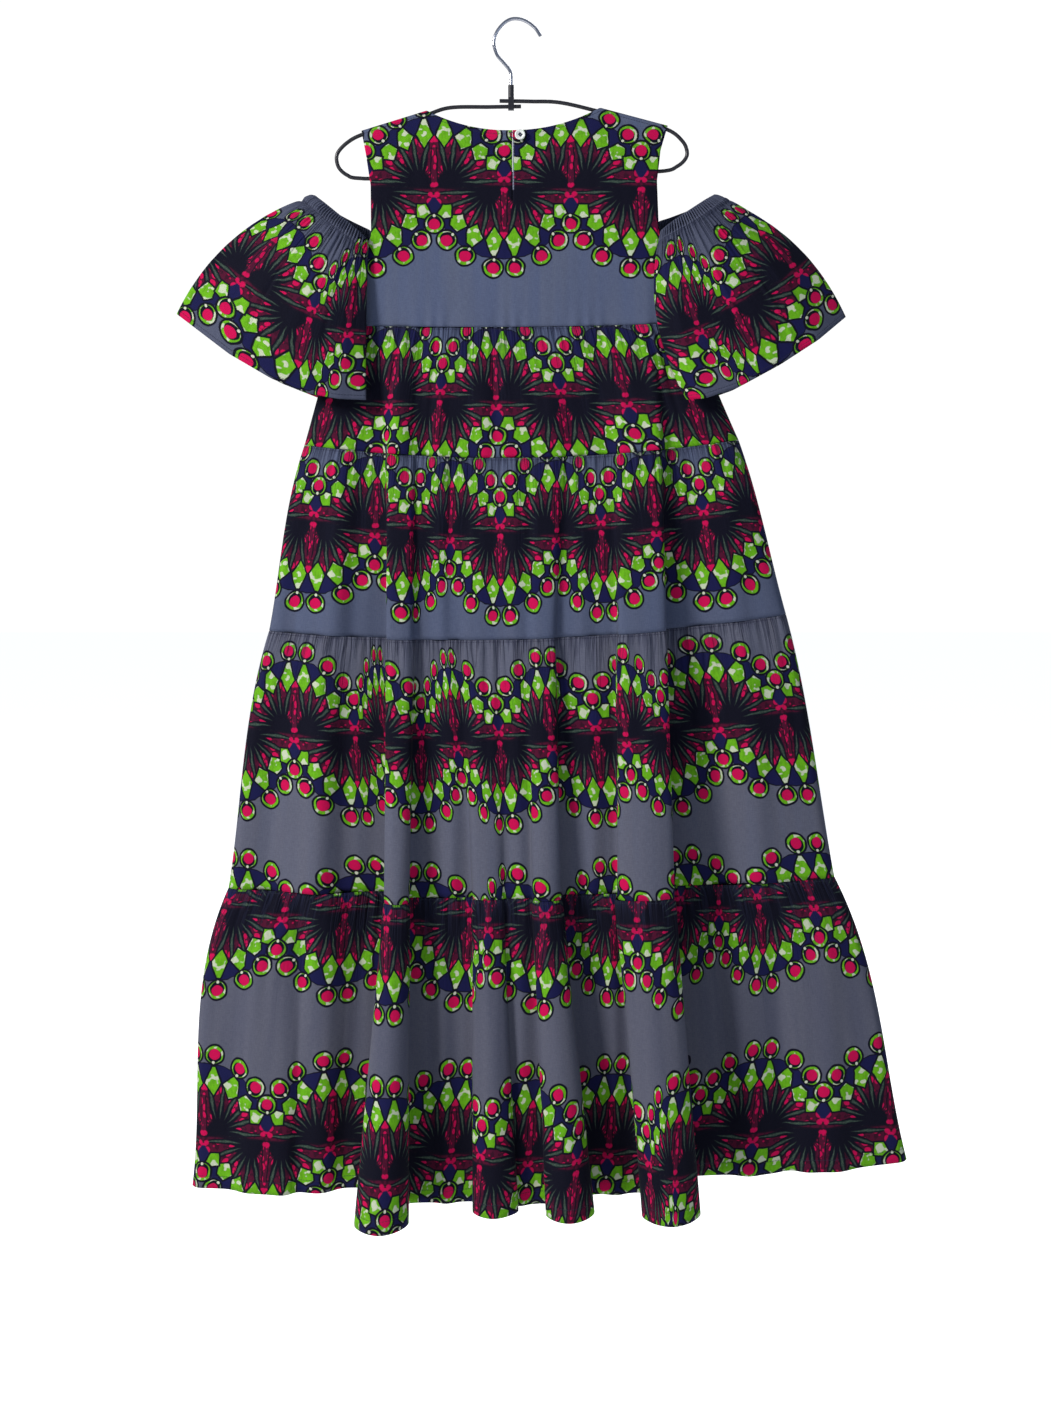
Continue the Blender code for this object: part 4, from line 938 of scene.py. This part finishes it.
def tier_panel(name, node, tier, lobes, tuck, facing, cotton):
    side = 0 if facing < 0 else 1
    columns = TIER_COLUMNS[side][tier]
    rows = TIER_ROWS[side][tier]
    falls = np.linspace(0.0, 1.0, rows) ** 1.3
    even = np.linspace(0.0, 1.0, columns)
    middle_stations = cloth_length(skirt_stations(tier + 0.5, lobes, tuck, facing))
    panel_width = middle_stations[-1]
    fold_shares = middle_stations / panel_width
    tall = abs(SEAMS[tier + 1][1] - SEAMS[tier][1])
    seed = 10 * tier + (3 if facing > 0 else 0)
    relief = gather_relief(even, falls * tall * MM, TIER_GATHERS[tier], seed)
    fade = np.minimum(1.0, np.minimum(even, 1 - even) / 0.02)
    places = np.zeros((rows, columns, 3))
    sewn = np.zeros((rows, columns, 3))
    smooth_rows = []
    for row, fall in enumerate(falls):
        level = tier + min(fall, 0.9999)
        stations = skirt_stations(level, lobes, tuck, facing)
        curve = rounded_curve(stations)
        station_lengths = cloth_length(stations)
        beside_folds = np.interp(even, fold_shares, station_lengths / station_lengths[-1])
        shares = even + (beside_folds - even) * TIER_FOLLOWS_FOLDS[tier]
        points = np.column_stack([
            np.interp(shares, np.linspace(0.0, 1.0, CURVE_POINTS), column) for column in curve.T])
        smooth_rows.append(points)
        way = np.gradient(points, axis=0)
        outward = facing * np.column_stack([-way[:, 1], way[:, 0]])
        outward /= np.linalg.norm(outward, axis=1, keepdims=True)
        seam_dip = UPPER_DIP * math.exp(-fall * tall * MM / DIP_RUN)
        if tier < 3:
            seam_dip += LOWER_DIP * math.exp(-(1 - fall) * tall * MM / DIP_RUN)
        folded = soft_folds(points, fall, TIER_FOLDS[tier], facing)
        moved = points + outward * ((relief[row] + folded - seam_dip) * fade)[:, None]
        upper = seam_height(tier, moved[:, 0])
        lower = seam_height(tier + 1, moved[:, 0])
        heights = (1 - fall) * upper + fall * lower
        if tier == 3:
            heights -= HEM_SAG * fall * np.maximum(0.0, abs(moved[:, 1]) - FLAT_DEPTH)
        # The two ends stay at the middle, where the back and the front are sewn together
        moved[1:-1, 1] = facing * np.maximum(facing * moved[1:-1, 1], LEAST_DEPTH)
        places[row] = np.column_stack([moved, heights])
        tall_here = upper - lower
        sewn[row] = np.column_stack([even * panel_width, fall * tall_here, (1 - fall) * tall_here])
    places[0, :, 2] -= SEAM_GAP
    if tier < 3:
        places[-1, :, 2] += SEAM_GAP
    if facing < 0:
        phases = []
        for seen, band_fall in zip(TIER_LINES[tier], TIER_BAND_FALL[tier]):
            band_row = smooth_rows[int(np.argmin(abs(falls - band_fall)))]
            phases.append(repeats_along(band_row, zip(seen, TIER_REPEATS[tier])))
        if len(phases) == 1:
            phase = np.repeat(phases[0][None, :], rows, axis=0)
        else:
            first_fall, last_fall = TIER_BAND_FALL[tier]
            mix = ((falls - first_fall) / (last_fall - first_fall))[:, None]
            phase = phases[0][None, :] * (1 - mix) + phases[1][None, :] * mix
    else:
        cut_repeats = TIER_CUT[tier][1] / REPEAT
        phase = np.repeat((even * cut_repeats + FRONT_SHIFT * tier)[None, :], rows, axis=0)
    prints = np.stack([phase * REPEAT, print_height(sewn[..., 1], TIER_BANDS[tier])], axis=-1)
    piece = sewn_sheet(name, places, prints, sewn, cotton)
    dress_piece(piece, node)


tier_grounds = (
    (SLATE, (0.084, 0.108, 0.19)), (SLATE, (0.096, 0.114, 0.18)), ((0.12, 0.13, 0.184), WARM_SLATE),
    ((0.1, 0.106, 0.15), WARM_SLATE))
panels = (("back", BACK_LOBES, BACK_TUCK, -1), ("front", FRONT_LOBES, (0.0,) * 5, 1))
for tier, ground in enumerate(tier_grounds):
    hem_line = 14.0 if tier == 3 else -9.0
    tier_cotton = printed_cotton(f"printed cotton, tier {tier + 1}", ground, 2.6, hem_line, 1.0)
    for side, lobes, tuck, facing in panels:
        node = f"tier_{tier + 1}_{side}"
        tier_panel(f"{node}_cloth", node, tier, lobes, tuck, facing, tier_cotton)


# Sleeves: each is one round of cloth, sewn over the lower armhole, with an elastic casing along its
# free top edge and a turned hem.
SLEEVE_ROUNDING = 0.014
# How deep the far half of the round is, as a share of the near half
FAR_SIDE_DEPTH = 0.96
# Shares of the outer and of the inner bulge at each station of half a round, from the underarm to the
# outer end, and how much the far half's top is raised. Then the stations' places at the top and the hem.
SLEEVE_SHARES = (
    (0.0, 0.0, 0.0), (0.0, 0.3, 0.0), (0.0, 0.7, 0.004), (0.0, 1.0, 0.016), (0.0, 0.8, 0.011),
    (0.0, 0.4, 0.007), (0.2, 0.0, 0.003), (0.5, 0.0, 0.0), (1.0, 0.0, 0.0))
LEFT_SLEEVE = (
    ((-0.201, 0.0, -0.2905), (-0.236, 0.0, -0.432)),
    ((-0.1885, 0.0095, -0.2845), (-0.206, 0.0215, -0.436)),
    ((-0.1765, 0.0142, -0.2745), (-0.18, 0.0235, -0.4385)),
    ((-0.1645, 0.0155, -0.256), (-0.165, 0.031, -0.4405)),
    ((-0.178, 0.0215, -0.244), (-0.198, 0.041, -0.4396)),
    ((-0.19, 0.023, -0.234), (-0.23, 0.042, -0.4338)),
    ((-0.203, 0.0215, -0.2232), (-0.274, 0.039, -0.4164)),
    ((-0.217, 0.016, -0.2115), (-0.324, 0.028, -0.3874)),
    ((-0.23, 0.0, -0.2007), (-0.391, 0.0, -0.3376)))
RIGHT_SLEEVE = (
    ((0.206, 0.0, -0.2905), (0.258, 0.0, -0.417)),
    ((0.1935, 0.0095, -0.2845), (0.235, 0.0215, -0.428)),
    ((0.1855, 0.0142, -0.2745), (0.215, 0.024, -0.437)),
    ((0.1695, 0.0155, -0.245), (0.197, 0.031, -0.44)),
    ((0.183, 0.0235, -0.235), (0.22, 0.045, -0.439)),
    ((0.196, 0.023, -0.2262), (0.26, 0.042, -0.425)),
    ((0.209, 0.0215, -0.2175), (0.305, 0.039, -0.4005)),
    ((0.222, 0.016, -0.2085), (0.35, 0.028, -0.3715)),
    ((0.235, 0.0, -0.1995), (0.388, 0.0, -0.341)))
SLEEVE_COLUMNS = (26, 160, 160, 26)
SLEEVE_TALL_ROWS = 72
SLEEVE_BAND_ABOVE_HEM = 0.083
CASING_TALL = 0.0145
SLEEVE_GATHERS = 74
SLEEVE_GROUND = ((0.096, 0.108, 0.16), (0.078, 0.089, 0.14))
# Ruffles of the casing: their depth, how far the casing stands out, and how deep its stitches sink
RUFFLE_DEEP = 0.0026
CASING_OUT = 0.0012
STITCHES_IN = 0.0016
# Columns over which the gathers grow from the seam at the armhole
FREE_COLUMNS = 14.0


def sleeve(name, node, half_round, outer_bulge, inner_bulge, lines, cotton, seed):
    falls = np.linspace(0.0, 1.0, SLEEVE_TALL_ROWS) ** 1.25
    grid = []
    for fall in falls:
        near_side = []
        arch = 4 * fall * (1 - fall)
        for (top, hem), (outer_share, inner_share, _) in zip(half_round, SLEEVE_SHARES):
            x, depth, z = [start + (end - start) * fall for start, end in zip(top, hem)]
            x += (outer_bulge[0] * outer_share + inner_bulge * inner_share) * arch
            near_side.append((x, -depth, z + outer_bulge[1] * outer_share * arch))
        far_side = []
        for index in range(len(half_round) - 2, 0, -1):
            x, y, z = near_side[index]
            flatter = FAR_SIDE_DEPTH if index > 3 else 1.0
            far_side.append((x, -y * flatter, z + SLEEVE_SHARES[index][2] * (1 - fall) ** 2))
        curve = rounded_curve(near_side + far_side, closed=True, rounding=SLEEVE_ROUNDING)
        along = cloth_length(curve)
        along /= along[-1]
        folds = (near_side[3], near_side[-1], far_side[-3])
        nearest = [int(np.argmin(np.linalg.norm(curve - np.array(fold), axis=1))) for fold in folds]
        anchors = [0.0, *along[nearest], 1.0]
        shares = np.concatenate([
            np.linspace(start, end, count, endpoint=False)
            for start, end, count in zip(anchors, anchors[1:], SLEEVE_COLUMNS)] + [[1.0]])
        grid.append(np.column_stack([np.interp(shares, along, column) for column in curve.T]))
    grid = np.array(grid)
    smooth = grid.copy()
    across = np.roll(grid, -1, axis=1) - np.roll(grid, 1, axis=1)
    across[:, 0] = across[:, -1] = grid[:, 1] - grid[:, -2]
    outward = np.cross(across, np.gradient(grid, axis=0))
    outward /= np.linalg.norm(outward, axis=2, keepdims=True)
    down = np.concatenate([np.zeros((1, grid.shape[1])), np.cumsum(
        np.linalg.norm(np.diff(grid, axis=0), axis=2), axis=0)])
    columns = np.arange(grid.shape[1])
    from_armhole = np.minimum(columns - SLEEVE_COLUMNS[0], len(columns) - SLEEVE_COLUMNS[3] - columns)
    free = np.clip(from_armhole / FREE_COLUMNS, 0.0, 1.0)
    even = columns / (len(columns) - 1)
    down_mm = down.mean(axis=1) * MM
    casing_end = CASING_TALL * MM
    ruched = gather_relief(even, np.maximum(down_mm - casing_end, 0.0), SLEEVE_GATHERS, seed) * 1.35
    waves = 2 * math.pi * SLEEVE_GATHERS * 0.95 * even + 1.4 * np.sin(23.0 * even)
    ruffle = RUFFLE_DEEP * np.sin(waves)[None, :]
    in_casing = np.exp(-((down_mm - casing_end / 2) / (casing_end / 2.4)) ** 4)[:, None]
    pinch = STITCHES_IN * np.exp(-((down_mm - casing_end) / 1.9) ** 2)[:, None]
    below_casing = np.clip((down_mm - casing_end) / 4.0, 0.0, 1.0)[:, None]
    relief = (in_casing * (ruffle + CASING_OUT) + ruched * below_casing - pinch) * free[None, :]
    grid = grid + outward * relief[..., None]
    band_row = int(np.argmin(abs(down_mm - (down_mm[-1] - SLEEVE_BAND_ABOVE_HEM * MM))))
    row_points = smooth[band_row]
    along = cloth_length(row_points)
    near = slice(SLEEVE_COLUMNS[0], SLEEVE_COLUMNS[0] + SLEEVE_COLUMNS[1])
    seen = seen_column(row_points[near, 0], row_points[near, 1])
    order = np.argsort(seen)
    line_lengths = np.interp(lines[0], seen[order], along[near][order])
    rise = np.argsort(line_lengths)
    lengths = line_lengths[rise]
    repeats = np.array(lines[1])[rise]
    way = 1.0 if repeats[-1] > repeats[0] else -1.0
    phase = run_on(along, lengths, repeats, way)
    above = down[-1][None, :] - down
    every_row = np.ones((len(falls), 1))
    prints = np.stack([every_row * phase * REPEAT, above - SLEEVE_BAND_ABOVE_HEM], axis=-1)
    sewn = np.stack([every_row * along, down - CASING_TALL, above], axis=-1)
    piece = sewn_sheet(name, grid, prints, sewn, cotton, closed=True)
    dress_piece(piece, node)


sleeve_cotton = printed_cotton("printed cotton, sleeves", SLEEVE_GROUND, 0.0, 5.0, 0.9)
sleeve("sleeve_left_cloth", "sleeve_left", LEFT_SLEEVE, (-0.015, 0.018), -0.001,
       ((246, 311, 347), (0.0, 0.5, 1.0)), sleeve_cotton, 71)
sleeve("sleeve_right_cloth", "sleeve_right", RIGHT_SLEEVE, (0.015, 0.016), -0.02,
       ((792, 731, 696), (0.0, 0.5, 1.0)), sleeve_cotton, 72)


# Hanger: one steel wire with a black coating, bent so that its two arms' ends overlap in a clamp,
# and a bright hook that turns in the clamp's neck.
WIRE_ROUTE = (
    (0.01, -0.098), (-0.026, -0.0986), (-0.072, -0.0994), (-0.1, -0.1079), (-0.1375, -0.1193),
    (-0.175, -0.1309), (-0.191, -0.1395), (-0.2015, -0.15), (-0.204, -0.159), (-0.201, -0.1695),
    (-0.192, -0.1775), (-0.179, -0.1812), (-0.13, -0.181), (0.125, -0.1742), (0.176, -0.1728),
    (0.1915, -0.1672), (0.2005, -0.159), (0.2025, -0.15), (0.197, -0.138), (0.18, -0.125),
    (0.141, -0.1146), (0.102, -0.1043), (0.056, -0.0936), (0.021, -0.0922), (-0.015, -0.0916))
HOOK_ROUTE = (
    (-0.0016, -0.0732), (-0.0016, -0.064), (-0.003, -0.0563), (-0.01, -0.0476), (-0.017, -0.0394),
    (-0.021, -0.029), (-0.0212, -0.02), (-0.0175, -0.0105), (-0.0105, -0.002), (-0.003, 0.0028),
    (0.0045, 0.0038), (0.0125, 0.0022), (0.02, -0.0018), (0.027, -0.0078), (0.0325, -0.0162))
WIRE_RADIUS = 0.00225
HOOK_RADIUS = 0.002
STEPS_A_BEND = 10


def bent_wire(name, node, route, radius, finish):
    """A round wire bent through its route, with flat closed ends."""
    line = bpy.data.curves.new(name, "CURVE")
    line.dimensions = "3D"
    line.bevel_depth = radius
    line.bevel_resolution = 5
    line.use_fill_caps = True
    path = line.splines.new("POLY")
    smooth = []
    for index in range(len(route) - 1):
        before, start, end, after = [
            Vector((route[place][0], 0.0, route[place][1]))
            for place in (max(0, index - 1), index, index + 1, min(len(route) - 1, index + 2))]
        for step in range(STEPS_A_BEND):
            t = step / STEPS_A_BEND
            smooth.append(0.5 * (
                2 * start + (end - before) * t + (2 * before - 5 * start + 4 * end - after) * t ** 2
                + (3 * start - before - 3 * end + after) * t ** 3))
    smooth.append(Vector((route[-1][0], 0.0, route[-1][1])))
    path.points.add(len(smooth) - 1)
    for point, place in zip(path.points, smooth):
        point.co = (*(place + HANG), 1.0)
    line.materials.append(finish)
    piece = in_scene(name, line)
    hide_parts(node)
    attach(piece, "root")


black_coat = speckled_finish("black coating", 320.0, (0.008, 0.008, 0.012), (0.022, 0.022, 0.03), 0.25, 0.2)
chrome = speckled_finish("bright chrome", 150.0, (0.46, 0.48, 0.56), (0.6, 0.62, 0.7), 0.1, 0.12, 1.0)
bent_wire("hanger_bent_wire", "hanger_wire", WIRE_ROUTE, WIRE_RADIUS, black_coat)
bent_wire("hanger_bent_hook", "hanger_hook", HOOK_ROUTE, HOOK_RADIUS, chrome)
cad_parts["hanger_ferrule"].data.materials.clear()
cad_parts["hanger_ferrule"].data.materials.append(black_coat)


# Button: pearly plastic, sewn on right of the slit with four stitches. The thread loop comes from
# the slit's left edge.
BUTTON_MIDDLE = Vector((0.0088, 0.0, -0.1337)) + HANG
BUTTON_PROFILE = (
    (0.0, -0.0143), (0.005, -0.0143), (0.0059, -0.0148), (0.0061, -0.0156), (0.0058, -0.0164),
    (0.005, -0.0167), (0.0042, -0.0165), (0.0035, -0.0159), (0.0, -0.0158))
STITCH_RADIUS = 0.0008
STITCH_TALL = 0.0034
STITCH_OUT = 0.0012
STITCH_FRONT = -0.016

pearl = speckled_finish("pearly plastic", 260.0, (0.7, 0.76, 0.74), (0.92, 0.92, 0.88), 0.2, 0.0)
thread = speckled_finish("navy thread", 1500.0, (0.01, 0.012, 0.03), (0.05, 0.05, 0.09), 0.5, 0.0)
button_form = bmesh.new()
corners = [button_form.verts.new(BUTTON_MIDDLE + Vector((radius, y, 0.0))) for radius, y in BUTTON_PROFILE]
edges = [button_form.edges.new(pair) for pair in zip(corners, corners[1:])]
bmesh.ops.spin(
    button_form, geom=corners + edges, cent=BUTTON_MIDDLE, axis=(0.0, 1.0, 0.0), angle=2 * math.pi, steps=40,
    use_merge=True)
bmesh.ops.remove_doubles(button_form, verts=button_form.verts, dist=0.00001)
bmesh.ops.recalc_face_normals(button_form, faces=button_form.faces)
neck_button = formed("neck_button", button_form, pearl)
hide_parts("button")
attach(neck_button, "root")

stitch_form = bmesh.new()
for index in range(4):
    angle = math.pi / 4 + index * math.pi / 2
    made = bmesh.ops.create_cone(
        stitch_form, cap_ends=True, segments=10, radius1=STITCH_RADIUS, radius2=STITCH_RADIUS,
        depth=STITCH_TALL)["verts"]
    turned = Vector((math.cos(angle + math.pi / 2), 0.0, math.sin(angle + math.pi / 2)))
    lying = turned.to_track_quat("Z", "Y").to_matrix()
    bmesh.ops.rotate(stitch_form, verts=made, cent=(0, 0, 0), matrix=lying)
    out = Vector((STITCH_OUT * math.cos(angle), STITCH_FRONT, STITCH_OUT * math.sin(angle)))
    bmesh.ops.translate(stitch_form, verts=made, vec=BUTTON_MIDDLE + out)
button_stitches = formed("button_stitches", stitch_form, thread)
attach(button_stitches, "root")
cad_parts["button_loop"].data.materials.clear()
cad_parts["button_loop"].data.materials.append(thread)
